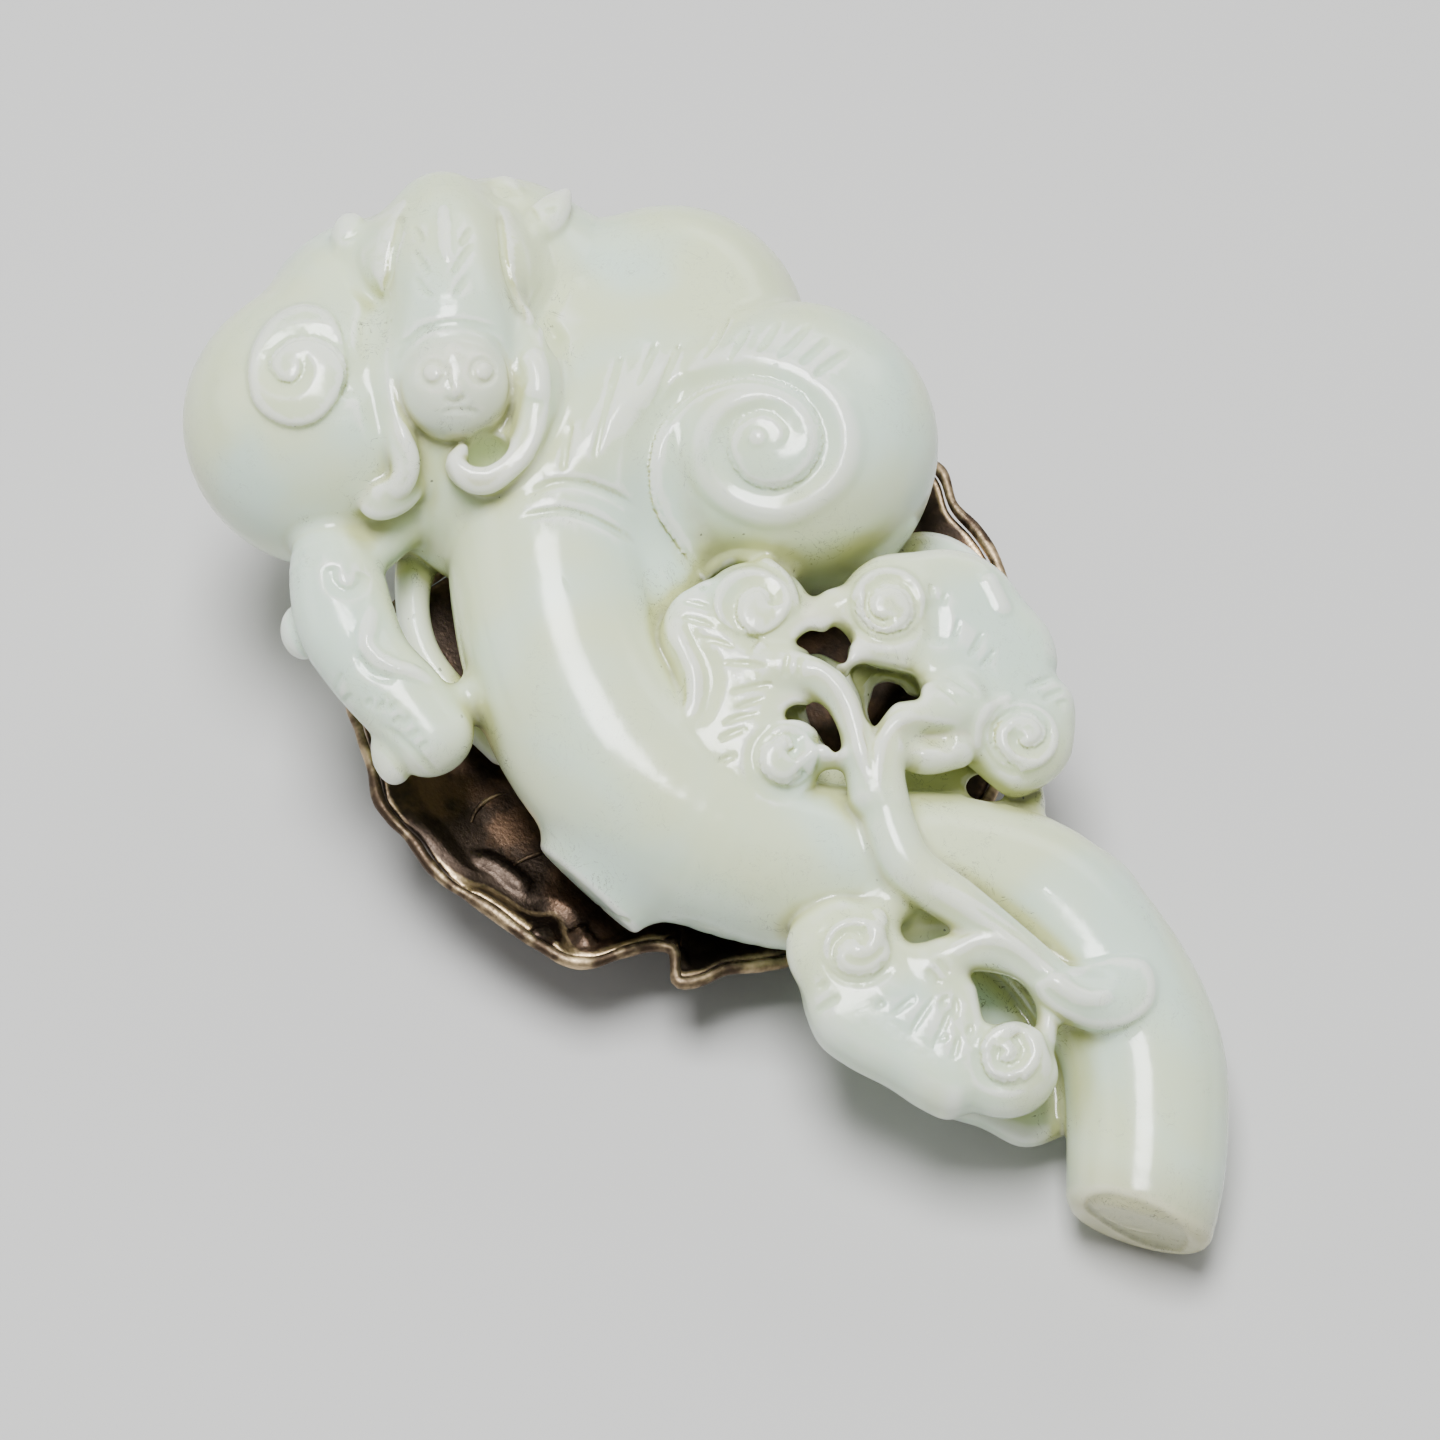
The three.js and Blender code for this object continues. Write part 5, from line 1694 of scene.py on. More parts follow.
class Tree:
    """A material's node tree with short calls for its usual nodes."""

    def __init__(self, name: str) -> None:
        """Start a material with a Principled shader.

        Args:
            name: Its name.
        """
        self.material = bpy.data.materials.new(name)
        self.material.use_nodes = True
        self.nodes = self.material.node_tree.nodes
        self.links = self.material.node_tree.links
        self.shader = self.nodes["Principled BSDF"]
        self.place = self.nodes.new("ShaderNodeTexCoord").outputs["Object"]

    def put(self, socket: bpy.types.NodeSocket, value: object) -> None:
        """Link a socket to another one, or set its value.

        Args:
            socket: The input to set.
            value: A number, colour or other node.
        """
        if isinstance(value, bpy.types.NodeSocket):
            self.links.new(value, socket)
        else:
            socket.default_value = value

    def attribute(self, name: str) -> bpy.types.NodeSocket:
        """Return the mesh attribute of that name.

        Args:
            name: Its name.

        Returns:
            The output that gives it.
        """
        node = self.nodes.new("ShaderNodeAttribute")
        node.attribute_name = name
        return node.outputs["Fac"]

    def noise(self, scale: float, detail: float = 3.0, rough: float = 0.5,
              warp: float = 0.0, place: object = None) -> bpy.types.NodeSocket:
        """Return a noise whose patches are about a metre over scale wide.

        Args:
            scale: Repeats in a metre.
            detail: How many finer layers it has.
            rough: How strong the finer layers are.
            warp: How far it is bent.
            place: Where it is read.

        Returns:
            The output that gives it.
        """
        node = self.nodes.new("ShaderNodeTexNoise")
        self.put(node.inputs["Vector"], place or self.place)
        node.inputs["Scale"].default_value = scale
        node.inputs["Detail"].default_value = detail
        node.inputs["Roughness"].default_value = rough
        node.inputs["Distortion"].default_value = warp
        return node.outputs["Fac"]

    def math(self, kind: str, first: object, second: object = 0.0,
             third: object = 0.0) -> bpy.types.NodeSocket:
        """Return a sum, product or other function of up to three values.

        Args:
            kind: The name of the sum.
            first: The first value.
            second: The second value, where it has one.
            third: The third value, where it has one.

        Returns:
            The result.
        """
        node = self.nodes.new("ShaderNodeMath")
        node.operation = kind
        for socket, value in zip(node.inputs, (first, second, third)):
            self.put(socket, value)
        return node.outputs[0]

    def ramp(self, value: object, start: float, stop: float, low: float = 0.0,
             high: float = 1.0) -> bpy.types.NodeSocket:
        """Return a value stretched softly from one range to another.

        Args:
            value: A number, colour or other node.
            start: The value where it starts.
            stop: The value where it ends.
            low: What it gives at the start.
            high: What it gives at the end.

        Returns:
            The result.
        """
        node = self.nodes.new("ShaderNodeMapRange")
        node.interpolation_type = "SMOOTHSTEP"
        for name, held in (("Value", value), ("From Min", start), ("From Max", stop),
                           ("To Min", low), ("To Max", high)):
            self.put(node.inputs[name], held)
        return node.outputs["Result"]

    def near(self, spot: Row, reach: float) -> bpy.types.NodeSocket:
        """Return 1 near a spot, given in metres, fading to 0 at a reach from it.

        Args:
            spot: Its middle in metres.
            reach: How far from its middle it fades out.

        Returns:
            1 in the middle, and 0 past the reach.
        """
        node = self.nodes.new("ShaderNodeVectorMath")
        node.operation = "DISTANCE"
        self.put(node.inputs[0], self.place)
        node.inputs[1].default_value = spot
        return self.ramp(node.outputs["Value"], reach * 0.6, reach, 0.8, 0)

    def mix(self, share: object, first: object, second: object) -> bpy.types.NodeSocket:
        """Return a colour between two others.

        Args:
            share: How much of the second colour there is.
            first: The first colour.
            second: The second colour.

        Returns:
            The blended colour.
        """
        node = self.nodes.new("ShaderNodeMix")
        node.data_type = "RGBA"
        for name, value in (("Factor_Float", share), ("A_Color", first), ("B_Color", second)):
            socket = next(held for held in node.inputs if held.identifier == name)
            self.put(socket, value)
        return next(held for held in node.outputs if held.identifier == "Result_Color")

    def bump(self, height: object, depth: float, strength: float = 1.0,
             under: object = None) -> bpy.types.NodeSocket:
        """Return a surface direction roughened by a height, its depth in metres.

        Args:
            height: The height node.
            depth: The height of 1, in metres.
            strength: How much of it shows.
            under: A bump below it.

        Returns:
            The bent normal.
        """
        node = self.nodes.new("ShaderNodeBump")
        node.inputs["Strength"].default_value = strength
        node.inputs["Distance"].default_value = depth
        self.put(node.inputs["Height"], height)
        if under is not None:
            self.put(node.inputs["Normal"], under)
        return node.outputs["Normal"]


@dataclass(frozen=True)
class JadeFinish:
    """Polished pale celadon nephrite, with painted shade, darker and yellow-green, in its
    recesses and grooves, painted highlight on its ridges and painted light showing through where
    it is thin.
    """

    crest: Row = (0.74, 0.82, 0.55, 1)
    cloud: Row = (0.68, 0.83, 0.71, 1)
    # recess: painted shade, darker and yellow-green, for the hollows of the stone
    recess: Row = (0.58, 0.62, 0.30, 1)
    # painted shade for the bottoms of narrow grooves
    groove_shade_colour: Row = (0.30, 0.31, 0.17, 1)
    # edge: painted highlight on ridges and sharp crests
    edge: Row = (0.90, 0.93, 0.85, 1)
    warmed: Rows = (
        (-0.0327, -0.0080, 0.0359, 0.0060, 0.80, 0.80, 0.62),
        (0.0547, -0.0030, 0.0061, 0.0085, 0.60, 0.57, 0.30))
    # thin: painted light showing through the thin parts, lighter and warmer
    thin: Row = (0.86, 0.83, 0.68, 1)
    fibre: Row = (0.13, 0.14, 0.10, 1)
    radius: Row = (1.0, 1.0, 0.75)
    depth: float = 0.0015
    roughness: tuple[float, float] = (0.13, 0.22)

    def material(self) -> bpy.types.Material:
        """Return the jade's material.

        Returns:
            The finished material.
        """
        tree = Tree("celadon_jade")
        recess, thin = tree.attribute("recess"), tree.attribute("thin")
        colour = tree.mix(tree.ramp(tree.noise(55, 2, 0.5, 0.4), 0.38, 0.68), self.crest,
                          self.cloud)
        # painted light showing through: lighter and warmer where the stone is thin
        colour = tree.mix(tree.ramp(thin, 0.15, 0.9, 0, 0.7), colour, self.thin)
        # painted shade: darker yellow-green the deeper a place lies in a recess
        colour = tree.mix(tree.ramp(recess, 0.12, 0.62, 0, 1), colour, self.recess)
        # painted highlight: whiter on ridges and sharp crests
        colour = tree.mix(tree.ramp(tree.attribute("ridge"), 0.25, 1.0, 0, 0.65), colour,
                          self.edge)
        for row in self.warmed:
            colour = tree.mix(tree.near(row[:3], row[3]), colour, (*row[4:], 1))
        # painted shade in the bottoms of narrow grooves, broken up by noise
        groove_shade = tree.math("MULTIPLY", tree.ramp(tree.attribute("groove"), 0.12, 0.65, 0, 0.75),
                         tree.ramp(tree.noise(600, 2), 0.3, 0.6, 0.35, 1))
        colour = tree.mix(groove_shade, colour, self.groove_shade_colour)
        colour = tree.mix(self.fibres(tree, recess), colour, self.fibre)
        tree.put(tree.shader.inputs["Base Color"], colour)
        grain = tree.noise(2600, 3, 0.6)
        patch = tree.noise(260, 3, 0.55)
        tree.put(tree.shader.inputs["Roughness"],
                 tree.ramp(tree.math("MULTIPLY_ADD", patch, 0.6, tree.math(
                     "MULTIPLY", grain, 0.4)), 0.35, 0.7, *self.roughness))
        skin = tree.bump(grain, 0.00003, 0.2)
        tree.put(tree.shader.inputs["Normal"], tree.bump(patch, 0.0002, 0.3, skin))
        tree.shader.inputs["IOR"].default_value = 1.61
        tree.shader.inputs["Subsurface Weight"].default_value = 0.6
        tree.shader.inputs["Subsurface Radius"].default_value = self.radius
        tree.shader.inputs["Subsurface Scale"].default_value = self.depth
        return tree.material

    def fibres(self, tree: Tree, recess: bpy.types.NodeSocket) -> bpy.types.NodeSocket:
        """Return where hair-like dark fibres and tiny pits show.

        Args:
            tree: The material's tree.
            recess: How deep in a recess a place is.

        Returns:
            A share from 0 to 1 for each place.
        """
        curl = tree.noise(330, 4, 0.62, 2.2)
        line = tree.math("ABSOLUTE", tree.math("SUBTRACT", curl, 0.5))
        thread = tree.ramp(line, 0.0, 0.008, 1, 0)
        where = tree.ramp(tree.noise(150, 2, 0.5), 0.50, 0.56)
        speck = tree.ramp(tree.noise(1500, 1, 0.5), 0.77, 0.80)
        kept = tree.ramp(recess, 0.03, 0.2, 0.35, 1)
        found = tree.math("MULTIPLY", tree.math("MULTIPLY", thread, where), kept)
        pits = tree.math("MULTIPLY", speck, tree.ramp(recess, 0.1, 0.4))
        return tree.math("MULTIPLY", tree.math("MAXIMUM", found, pits), 0.85)


@dataclass(frozen=True)
class BronzeFinish:
    """Dark patinated bronze, green in its grooves and worn to gold on its crests, which also
    serves as painted highlight on the ridges and folds.
    """

    field: Row = (0.05, 0.036, 0.028, 1)
    warm: Row = (0.13, 0.078, 0.05, 1)
    groove: Row = (0.022, 0.034, 0.024, 1)
    # gold: worn metal on the crests, also used as painted highlight on the ridges and folds
    gold: Row = (0.56, 0.41, 0.24, 1)
    rough: Row = (0.33, 0.5)

    def material(self, name: str = "patinated_bronze") -> bpy.types.Material:
        """Return the bronze's material.

        Args:
            name: Its name.

        Returns:
            The finished material.
        """
        tree = Tree(name)
        recess, gold = tree.attribute("recess"), tree.attribute("gold")
        mottle = tree.noise(210, 4, 0.6)
        grain = tree.noise(3200, 2, 0.6)
        colour = tree.mix(tree.ramp(mottle, 0.42, 0.66), self.field, self.warm)
        colour = tree.mix(tree.ramp(recess, 0.3, 0.62), colour, self.groove)
        # gold on thin crests and ridges, partly wear and partly painted highlight
        worn_gold_and_highlight = tree.ramp(tree.math("ADD", gold, tree.math(
            "MULTIPLY", tree.math("SUBTRACT", mottle, 0.5), 1.6)), 0.95, 1.6)
        colour = tree.mix(worn_gold_and_highlight, colour, self.gold)
        tree.put(tree.shader.inputs["Base Color"], colour)
        tree.shader.inputs["Metallic"].default_value = 1.0
        tree.put(tree.shader.inputs["Roughness"], tree.ramp(grain, 0.3, 0.7, *self.rough))
        skin = tree.bump(grain, 0.00006, 0.5)
        tree.put(tree.shader.inputs["Normal"], tree.bump(mottle, 0.0003, 0.4, skin))
        return tree.material


@dataclass(frozen=True)
class FloorFinish:
    """A plain pale matt floor."""

    colour: Row = (0.62, 0.62, 0.615, 1)

    def material(self) -> bpy.types.Material:
        """Return the floor's material.

        Returns:
            The finished material.
        """
        tree = Tree("pale_floor")
        tree.put(tree.shader.inputs["Base Color"], self.colour)
        tree.shader.inputs["Roughness"].default_value = 0.8
        return tree.material


# The leaf

class RimPlan:
    """The leaf's rim in plan as a reach and a crest height for each direction."""

    def __init__(self, rows: Rows, middle: Row) -> None:
        """Take the rim rows as u, v and crest height, and the middle of the leaf.

        Args:
            rows: Rows of u, v and crest height.
            middle: The middle as u and v.
        """
        self.middle = np.array(middle)
        self.line = smooth_line(rows, 0.4, closed=True)
        away = self.line[:, :2] - self.middle
        turn = np.unwrap(np.arctan2(away[:, 1], away[:, 0]))
        turn = np.maximum.accumulate(turn)
        self.turn = np.concatenate([turn - 2 * math.pi, turn, turn + 2 * math.pi])
        self.reach = np.tile(np.linalg.norm(away, axis=1), 3)
        self.crest = np.tile(self.line[:, 2], 3)
        self.low = self.line[:, :2].min(axis=0)
        self.high = self.line[:, :2].max(axis=0)

    def find(self, places: Array) -> tuple[Array, Array, Array]:
        """Return the distance from the middle, the rim's reach and its crest there.

        Args:
            places: Rows of u and v.

        Returns:
            The distance, the reach and the crest.
        """
        away = places[:, :2] - self.middle
        turn = np.arctan2(away[:, 1], away[:, 0])
        return (np.linalg.norm(away, axis=1), np.interp(turn, self.turn, self.reach),
                np.interp(turn, self.turn, self.crest))


class Dish:
    """A thin shell that lies level in its middle and rises to the rim."""

    SECTION = ((0, 0), (0.34, 0), (0.5, 0.0), (0.66, 0.03), (0.78, 0.14), (0.88, 0.36),
               (0.95, 0.72), (1, 1.0), (1.1, 1.25))

    def __init__(self, plan: RimPlan, floor: float, thick: float) -> None:
        """Take the rim's plan, the height of the level part and the thickness.

        Args:
            plan: The rim in plan.
            floor: The height of its level part.
            thick: The thickness.
        """
        self.plan, self.floor, self.thick = plan, floor, thick
        self.low = np.array([*plan.low, floor - thick - 1])
        self.high = np.array([*plan.high, plan.crest.max() + 1])

    def height(self, places: Array) -> tuple[Array, Array]:
        """Return the height of the upper side, and how far outside the rim a place is.

        Args:
            places: Rows of u and v.

        Returns:
            The height, and how far outside the rim it is.
        """
        away, reach, crest = self.plan.find(places)
        shares, rises = np.array(self.SECTION).T
        rise = np.interp(away / reach, shares, rises)
        return self.floor + (crest - self.floor) * rise, away - reach

    def distance(self, points: Array) -> Array:
        """Return the distance of each point from the shell.

        Args:
            points: Rows of u, v and w in millimetres.

        Returns:
            Millimetres from the surface, less than 0 inside.
        """
        top, outside = self.height(points)
        level = np.abs(points[:, 2] - top + self.thick / 2) - self.thick / 2
        return smooth_most(level * 0.92, outside + 0.5, 0.9)


class Foot:
    """An oval ring that stands on the ground under the leaf."""

    def __init__(self, dish: Dish, middle: Row, halves: Row, wall: float) -> None:
        """Take the dish above it, its middle, its halves and its wall.

        Args:
            dish: The dish that it stands under.
            middle: The middle as u and v.
            halves: Half its length and width.
            wall: The thickness of its wall.
        """
        self.dish, self.middle = dish, np.array(middle)
        self.halves, self.wall = np.array(halves), wall
        self.low = np.array([middle[0] - halves[0] - 3, middle[1] - halves[1] - 3, -12.0])
        self.high = np.array([middle[0] + halves[0] + 3, middle[1] + halves[1] + 3, 2.0])

    def distance(self, points: Array) -> Array:
        """Return the distance of each point from the ring.

        Args:
            points: Rows of u, v and w in millimetres.

        Returns:
            Millimetres from the surface, less than 0 inside.
        """
        row = POSE.to_row(points)
        away = row[:, :2] - self.middle - np.array(POSE.shift)
        outer = (np.linalg.norm(away / self.halves, axis=1) - 1) * self.halves.min()
        inner = (1 - np.linalg.norm(away / (self.halves - self.wall), axis=1))
        wall = np.maximum(outer, inner * (self.halves.min() - self.wall))
        top, _ = self.dish.height(points)
        return smooth_most(np.maximum(wall, points[:, 2] - top + self.dish.thick / 2),
                           -row[:, 2], 0.5)


def sweep_tree(name: str, material: bpy.types.Material) -> bpy.types.NodeTree:
    """Make a node group that sweeps a round bar along the edges of a mesh.

    Args:
        name: Name of the group.
        material: Material that the bar gets.

    Returns:
        The group, with inputs for the bar's radius, sides and unevenness.
    """
    tree = bpy.data.node_groups.new(name, "GeometryNodeTree")
    held = tree.interface
    held.new_socket("Geometry", in_out="INPUT", socket_type="NodeSocketGeometry")
    for label, kind, value in (("Bar Radius", "NodeSocketFloat", 0.0006),
                               ("Bar Sides", "NodeSocketInt", 16),
                               ("Unevenness", "NodeSocketFloat", 0.2),
                               ("Patch Scale", "NodeSocketFloat", 300.0)):
        held.new_socket(label, in_out="INPUT", socket_type=kind).default_value = value
    held.new_socket("Geometry", in_out="OUTPUT", socket_type="NodeSocketGeometry")
    nodes, links = tree.nodes, tree.links
    start, end = nodes.new("NodeGroupInput"), nodes.new("NodeGroupOutput")
    curve = nodes.new("GeometryNodeMeshToCurve")
    taper = nodes.new("GeometryNodeInputNamedAttribute")
    taper.data_type = "FLOAT"
    taper.inputs["Name"].default_value = "taper"
    noise = nodes.new("ShaderNodeTexNoise")
    noise.inputs["Detail"].default_value = 1.0
    spread = nodes.new("ShaderNodeMapRange")
    spread.inputs["From Min"].default_value = 0.3
    spread.inputs["From Max"].default_value = 0.7
    less, more = nodes.new("ShaderNodeMath"), nodes.new("ShaderNodeMath")
    less.operation, more.operation = "SUBTRACT", "ADD"
    less.inputs[0].default_value = more.inputs[0].default_value = 1.0
    size, width = nodes.new("ShaderNodeMath"), nodes.new("ShaderNodeMath")
    size.operation = width.operation = "MULTIPLY"
    radius = nodes.new("GeometryNodeSetCurveRadius")
    section = nodes.new("GeometryNodeCurvePrimitiveCircle")
    section.inputs["Radius"].default_value = 1.0
    sweep = nodes.new("GeometryNodeCurveToMesh")
    sweep.inputs["Fill Caps"].default_value = True
    smooth = nodes.new("GeometryNodeSetShadeSmooth")
    real = nodes.new("GeometryNodeRealizeInstances")
    dress = nodes.new("GeometryNodeSetMaterial")
    dress.inputs["Material"].default_value = material
    for first, second in (
            (start.outputs["Geometry"], curve.inputs["Mesh"]),
            (start.outputs["Patch Scale"], noise.inputs["Scale"]),
            (noise.outputs[0], spread.inputs["Value"]),
            (start.outputs["Unevenness"], less.inputs[1]),
            (start.outputs["Unevenness"], more.inputs[1]),
            (less.outputs[0], spread.inputs["To Min"]),
            (more.outputs[0], spread.inputs["To Max"]),
            (spread.outputs["Result"], size.inputs[0]),
            (taper.outputs["Attribute"], size.inputs[1]),
            (size.outputs[0], width.inputs[0]),
            (start.outputs["Bar Radius"], width.inputs[1]),
            (curve.outputs["Curve"], radius.inputs["Curve"]),
            (width.outputs[0], radius.inputs["Radius"]),
            (start.outputs["Bar Sides"], section.inputs["Resolution"]),
            (radius.outputs["Curve"], sweep.inputs["Curve"]),
            (section.outputs["Curve"], sweep.inputs["Profile Curve"]),
            (sweep.outputs["Mesh"], smooth.inputs["Geometry"]),
            (smooth.outputs["Geometry"], real.inputs["Geometry"]),
            (real.outputs["Geometry"], dress.inputs["Geometry"]),
            (dress.outputs["Geometry"], end.inputs["Geometry"])):
        links.new(first, second)
    if "Scale" in sweep.inputs:
        links.new(width.outputs[0], sweep.inputs["Scale"])
    return tree


def swept(name: str, lines: list[tuple[Array, bool]], radius: float,
          material: bpy.types.Material, sides: int = 16, uneven: float = 0.2,
          patch: float = 300.0) -> bpy.types.Object:
    """Sweep a tapered bar along lines as one finished mesh.

    Args:
        name: Name of the piece.
        lines: Rows of x, y, z in metres and a taper, each with whether it is closed.
        radius: Radius of the bar where its taper is 1.
        material: Material that it gets.
        sides: How many sides the bar has.
        uneven: How much its width wanders.
        patch: Scale of that wandering.

    Returns:
        The finished piece.
    """
    mesh = bpy.data.meshes.new(name)
    rows = np.vstack([line for line, _ in lines])
    edges, first = [], 0
    for line, closed in lines:
        last = first + len(line)
        edges += [(k, k + 1) for k in range(first, last - 1)]
        edges += [(last - 1, first)] if closed else []
        first = last
    mesh.from_pydata([tuple(row[:3]) for row in rows], edges, [])
    layer = mesh.attributes.new("taper", "FLOAT", "POINT")
    layer.data.foreach_set("value", rows[:, 3].astype(np.float32))
    piece = bpy.data.objects.new(name, mesh)
    bpy.context.scene.collection.objects.link(piece)
    tree = sweep_tree(f"{name}_sweep", material)
    bar = piece.modifiers.new("bar", "NODES")
    bar.node_group = tree
    wanted = {"Bar Radius": radius, "Bar Sides": sides, "Unevenness": uneven,
              "Patch Scale": patch}
    for item in tree.interface.items_tree:
        if item.item_type == "SOCKET" and item.in_out == "INPUT" and item.name in wanted:
            bar[item.identifier] = wanted[item.name]
    finished = bpy.data.meshes.new_from_object(
        piece.evaluated_get(bpy.context.evaluated_depsgraph_get()))
    piece.modifiers.clear()
    piece.data = finished
    finished.name = name
    bpy.data.meshes.remove(mesh)
    return piece


@dataclass
class JadeCarving:
    """The whole jade: sculpted, skinned, laid in its pose and dressed."""

    cap: GreatCap = field(default_factory=GreatCap)
    stem: Stem = field(default_factory=Stem)
    bat: Bat = field(default_factory=Bat)
    branch: Branch = field(default_factory=Branch)
    bud: Bud = field(default_factory=Bud)
    underside: Underside = field(default_factory=Underside)
    finish: JadeFinish = field(default_factory=JadeFinish)
    face_limit: int = 190000

    def sculpt(self) -> tuple[Array, Array, dict[str, Array], Array, Stone]:
        """Sculpt the stone and skin it.

        Returns:
            The skin, the faces, the field and the block.
        """
        stone = Stone()
        for part in (self.underside, self.cap, self.stem, self.bud, self.bat, self.branch):
            part.block(stone)
        for part in (self.cap, self.stem, self.bat, self.branch, self.bud):
            part.carve(stone)
        LOG.info("jade: %d forms, %d lines", len(stone.steps), len(stone.strokes))
        stone.carve()
        values = stone.fill()
        untangle(values)
        spots, faces = net(values)
        for _ in range(3):
            found = sample(values, spots) / stone.step
            spots = spots - np.clip(found, -0.5, 0.5)[:, None] * slope(values, spots)
        return spots, faces, values, stone

    def build(self) -> bpy.types.Object:
        """Build the jade as one finished piece.

        Returns:
            The finished piece.
        """
        spots, faces, values, stone = self.sculpt()
        flat = np.array(stone.low) + spots * stone.step
        piece = new_piece("jade", POSE.to_row(flat) * METRE, faces)
        reduce_faces(piece, self.face_limit)
        mark(piece, values, stone)
        piece.data.materials.clear()
        piece.data.materials.append(self.finish.material())
        return piece


@dataclass
class LeafStand:
    """The shallow bronze leaf with its rolled rim, folds, veins and foot."""

    middle: Row = (-4, 3)
    rim: Rows = (
        (-24.4, -23.2, 3), (-20.4, -25.0, 3.4), (-16.8, -26.2, 3.5), (-14, -27.4, 3.6),
        (-11.8, -27.5, 3.6), (-9.4, -27.2, 3.5), (-6.6, -27.3, 3.4), (-4.2, -27, 3.5),
        (-1.6, -26.1, 3.6), (0.4, -25.4, 3.6), (3, -24.7, 3.6), (5.6, -23.7, 3.4),
        (7.6, -22.8, 3.5), (8.9, -21.2, 3.4), (9.7, -18.2, 3.2), (10.7, -15.8, 3.1),
        (12, -14.8, 3.3), (14.6, -16.2, 3.4), (15.6, -14.6, 3.3), (16.0, -12.2, 3.1),
        (17.2, -9.6, 2.6), (18.2, -7.0, 2.0), (18.6, -3, 0.8), (19, 4, 0.8), (18.4, 11, 0.8),
        (16.4, 18, 1.6), (12.6, 24, 2.6), (7.6, 28.4, 3.2), (2.2, 31.6, 3.4), (-1.6, 33.2, 3.5),
        (-4.8, 33.7, 3.5), (-8, 33.6, 3.5), (-12.0, 35.0, 3.4), (-18.6, 32.6, 2.2),
        (-24, 26, 0.8), (-27.6, 16, 0.8), (-29.4, 5, 0.8), (-30.6, -6, 0.8), (-29.4, -16, 1.8))
    floor: float = 0.45
    thick: float = 1.5
    bead: float = 0.52
    bead_drop: float = 0.35
    foot_middle: Row = (-5, 3)
    foot_halves: Row = (13, 19)
    foot_wall: float = 2.2
    finish: BronzeFinish = field(default_factory=BronzeFinish)
    face_limit: int = 120000
    vein_radius: float = 0.24
    grooves: tuple[Rows, ...] = (
        ((378, 762), (384, 783), (394, 803), (408, 823), (422, 838), (436, 854), (450, 868),
         (466, 878), (486, 884), (504, 894), (520, 905), (536, 911), (552, 911), (562, 918),
         (567, 934), (577, 950), (590, 954), (602, 948), (608, 934), (608, 920)),)
    folds: tuple[Rows, ...] = (
        ((466, 861), (480, 860), (494, 864), (508, 873), (521, 884), (536, 892)),
        ((507, 923), (523, 934), (540, 935), (553, 929)), ((576, 925), (585, 938), (594, 934)),
        ((672, 935), (678, 950), (678, 968)))
    veins: tuple[Rows, ...] = (
        ((471, 823), (476, 811), (486, 801), (498, 795), (506, 793)),
        ((514, 865), (525, 859), (540, 853), (552, 846)))

    def sculpt(self) -> tuple[Array, Array, Array, Stone]:
        """Sculpt the leaf and skin it.

        Returns:
            The skin, the faces, the field and the block.
        """
        plan = RimPlan(self.rim, self.middle)
        stone = Stone(low=(-34.0, -31.0, -10.0), high=(22.0, 39.0, 6.0))
        dish = Dish(plan, self.floor, self.thick)
        stone.add(dish, 0.0)
        stone.add(Foot(dish, self.foot_middle, self.foot_halves, self.foot_wall), 0.8)
        for line in self.grooves:
            stone.draw(Stroke(line, 1.3, 0.6, Taper.SOFT))
        for line in self.folds:
            stone.draw(Stroke(line, 1.3, -0.6, Taper.SOFT))
        stone.carve()
        values = stone.fill()
        untangle(values)
        spots, faces = net(values)
        for _ in range(2):
            found = sample(values, spots) / stone.step
            spots = spots - np.clip(found, -0.5, 0.5)[:, None] * slope(values, spots)
        return spots, faces, values, stone

    def build(self) -> list[bpy.types.Object]:
        """Build the leaf, its rolled rim and its veins as finished pieces.

        Returns:
            The finished pieces.
        """
        spots, faces, values, stone = self.sculpt()
        flat = np.array(stone.low) + spots * stone.step
        leaf = new_piece("leaf", POSE.to_row(flat) * METRE, faces)
        reduce_faces(leaf, self.face_limit)
        mark(leaf, values, stone)
        plan = RimPlan(self.rim, self.middle)
        rim = plan.line.copy()
        rim[:, 2] -= self.bead_drop
        rows = np.column_stack([POSE.to_row(rim) * METRE, np.ones(len(rim))])
        dress = self.finish.material()
        leaf.data.materials.clear()
        leaf.data.materials.append(dress)
        gold = BronzeFinish(field=(0.09, 0.062, 0.042, 1), warm=(0.62, 0.47, 0.28, 1),
                            rough=(0.42, 0.62))
        bead = swept("leaf_rim", [(rows, True)], self.bead * METRE,
                     gold.material("rubbed_bronze"), sides=20, uneven=0.22, patch=260)
        lines = []
        for vein in self.veins:
            marks = smooth_line(vein, 2.0, place=2)
            points, met = stone.touch(marks)
            points = points[met]
            share = np.linspace(0, 1, len(points))
            taper = 0.25 + 0.75 * np.sin(math.pi * np.clip(share * 0.9 + 0.1, 0, 1))
            lines.append((np.column_stack([POSE.to_row(points) * METRE, taper]), False))
        wires = swept("leaf_veins", lines, self.vein_radius * METRE,
                      gold.material("gold_wire"), sides=10, uneven=0.15, patch=500)
        return [leaf, bead, wires]


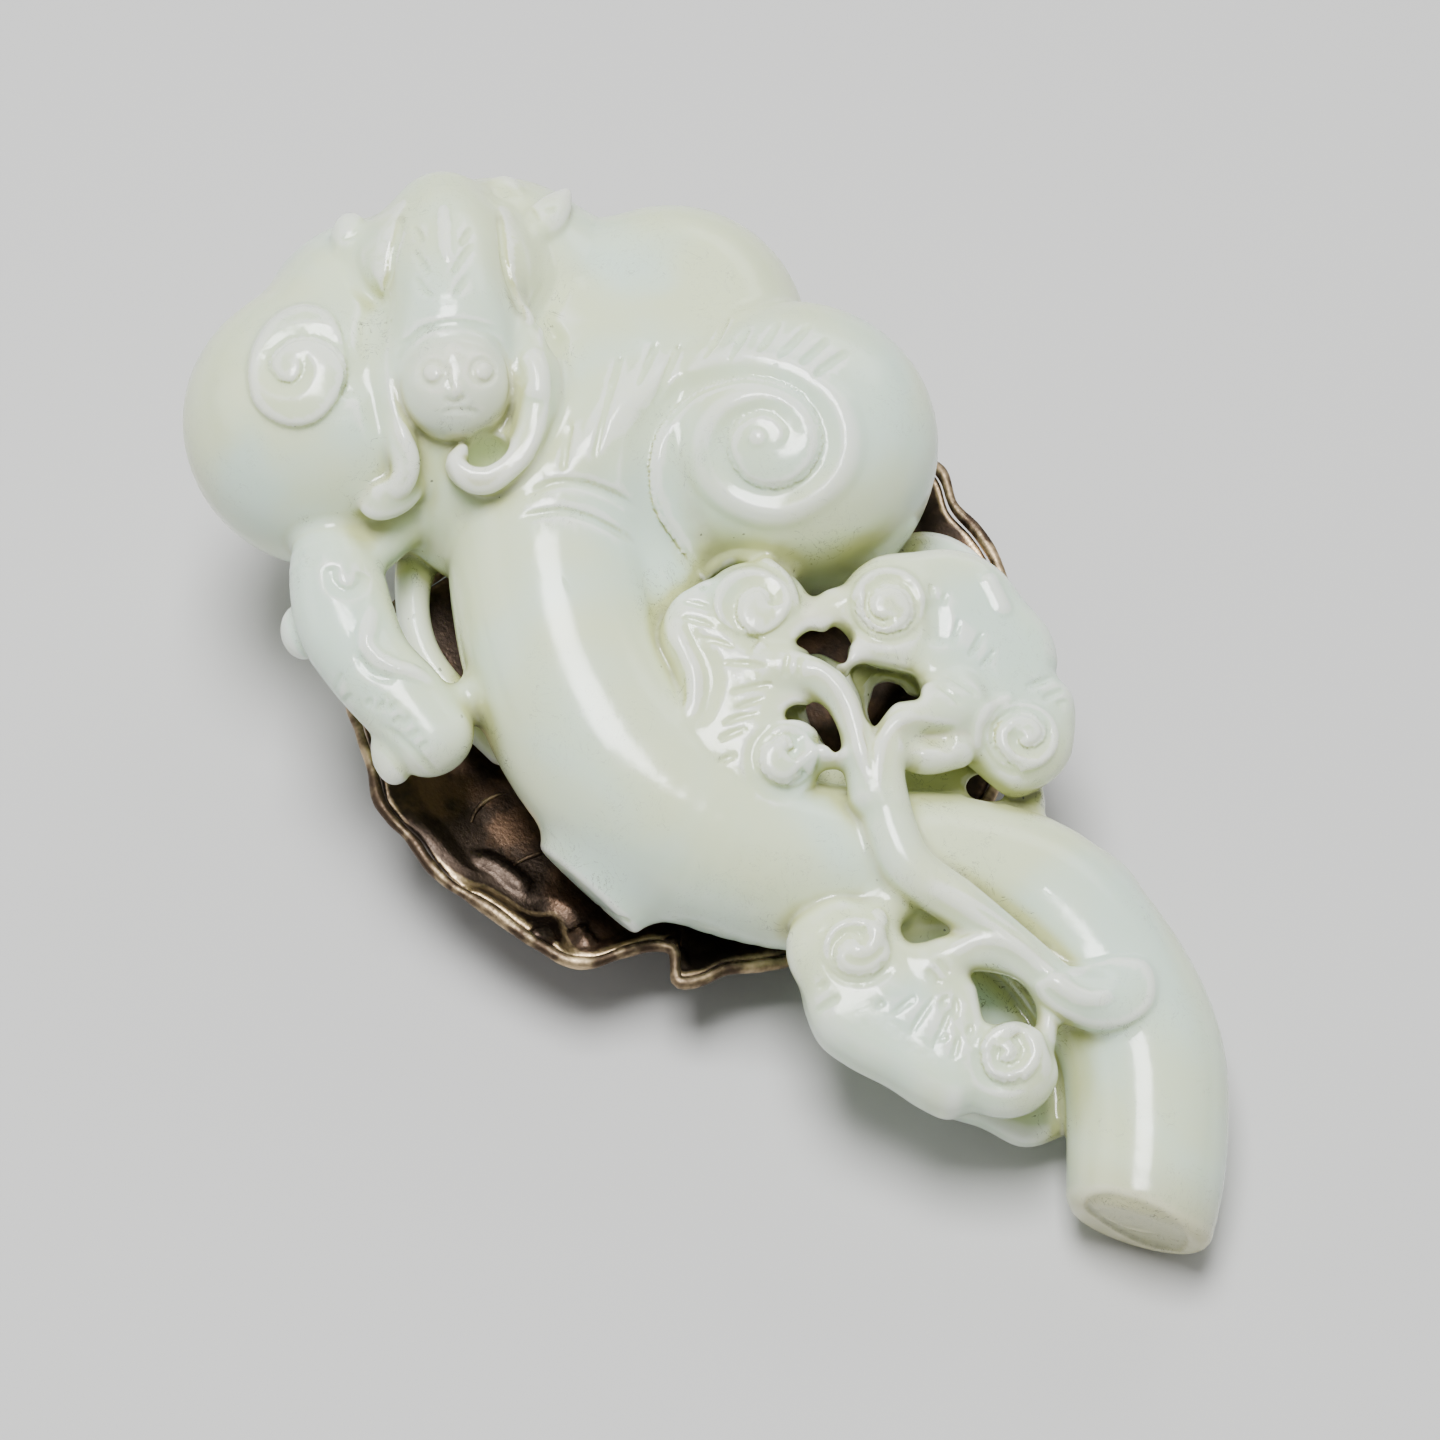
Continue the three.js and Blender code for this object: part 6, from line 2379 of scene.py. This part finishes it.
@dataclass(frozen=True)
class Lamp:
    """A soft square light that looks at the carving.

    Its place is given as metres to the right, away from the camera and up.
    """

    name: str
    place: Row
    size: Row
    power: float
    colour: Row = (1, 1, 1)

    def build(self) -> None:
        """Hang the lamp."""
        light = bpy.data.lights.new(self.name, "AREA")
        light.shape = "RECTANGLE"
        light.size, light.size_y = self.size
        light.energy = self.power
        light.color = self.colour
        lamp = bpy.data.objects.new(self.name, light)
        bpy.context.scene.collection.objects.link(lamp)
        right = Vector(VIEW.axes()[0])
        level = Vector((0, 0, 1)).cross(right)
        lamp.location = (right * self.place[0] + level * self.place[1]
                         + Vector((0, 0, self.place[2])))
        ahead = -lamp.location.normalized()
        across = (right - ahead * right.dot(ahead)).normalized()
        lamp.rotation_euler = Matrix((across, ahead.cross(across) * -1,
                                      -ahead)).transposed().to_euler()


@dataclass(frozen=True)
class Studio:
    """A plain pale floor and soft light."""

    lamps: tuple[Lamp, ...] = (
        Lamp("overhead", (-0.05, 0.02, 0.6), (0.22, 0.28), 6.0),
        Lamp("back", (0.35, 0.6, 0.5), (0.5, 0.3), 1.2),
        Lamp("side", (-0.7, 0.1, 0.35), (0.4, 0.4), 0.7))
    haze: float = 0.26
    floor: FloorFinish = field(default_factory=FloorFinish)
    reach: float = 1.6

    def build(self) -> None:
        """Lay the floor and hang the lights."""
        corners = np.array([(-1, -1, 0), (1, -1, 0), (1, 1, 0), (-1, 1, 0)]) * self.reach
        floor = new_piece("floor", corners, np.array([[0, 1, 2, 3]]))
        floor.data.materials.append(self.floor.material())
        world = bpy.data.worlds.new("studio")
        world.use_nodes = True
        back = world.node_tree.nodes["Background"]
        back.inputs["Color"].default_value = (1, 1, 1, 1)
        back.inputs["Strength"].default_value = self.haze
        bpy.context.scene.world = world
        for lamp in self.lamps:
            lamp.build()


def main() -> None:
    """Build the jade, its stand and the studio."""
    logging.basicConfig(level=logging.INFO)
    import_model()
    jade = JadeCarving().build()
    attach(jade, "root")
    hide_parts("jade_carving")
    LOG.info("jade: %d faces", len(jade.data.polygons))
    leaf, *trims = LeafStand().build()
    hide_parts("leaf_stand")
    for piece in (leaf, *trims):
        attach(piece, "root")
        LOG.info("%s: %d faces", piece.name, len(piece.data.polygons))
    Studio().build()
    VIEW.build()
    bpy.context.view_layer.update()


if __name__ == "__main__":
    main()
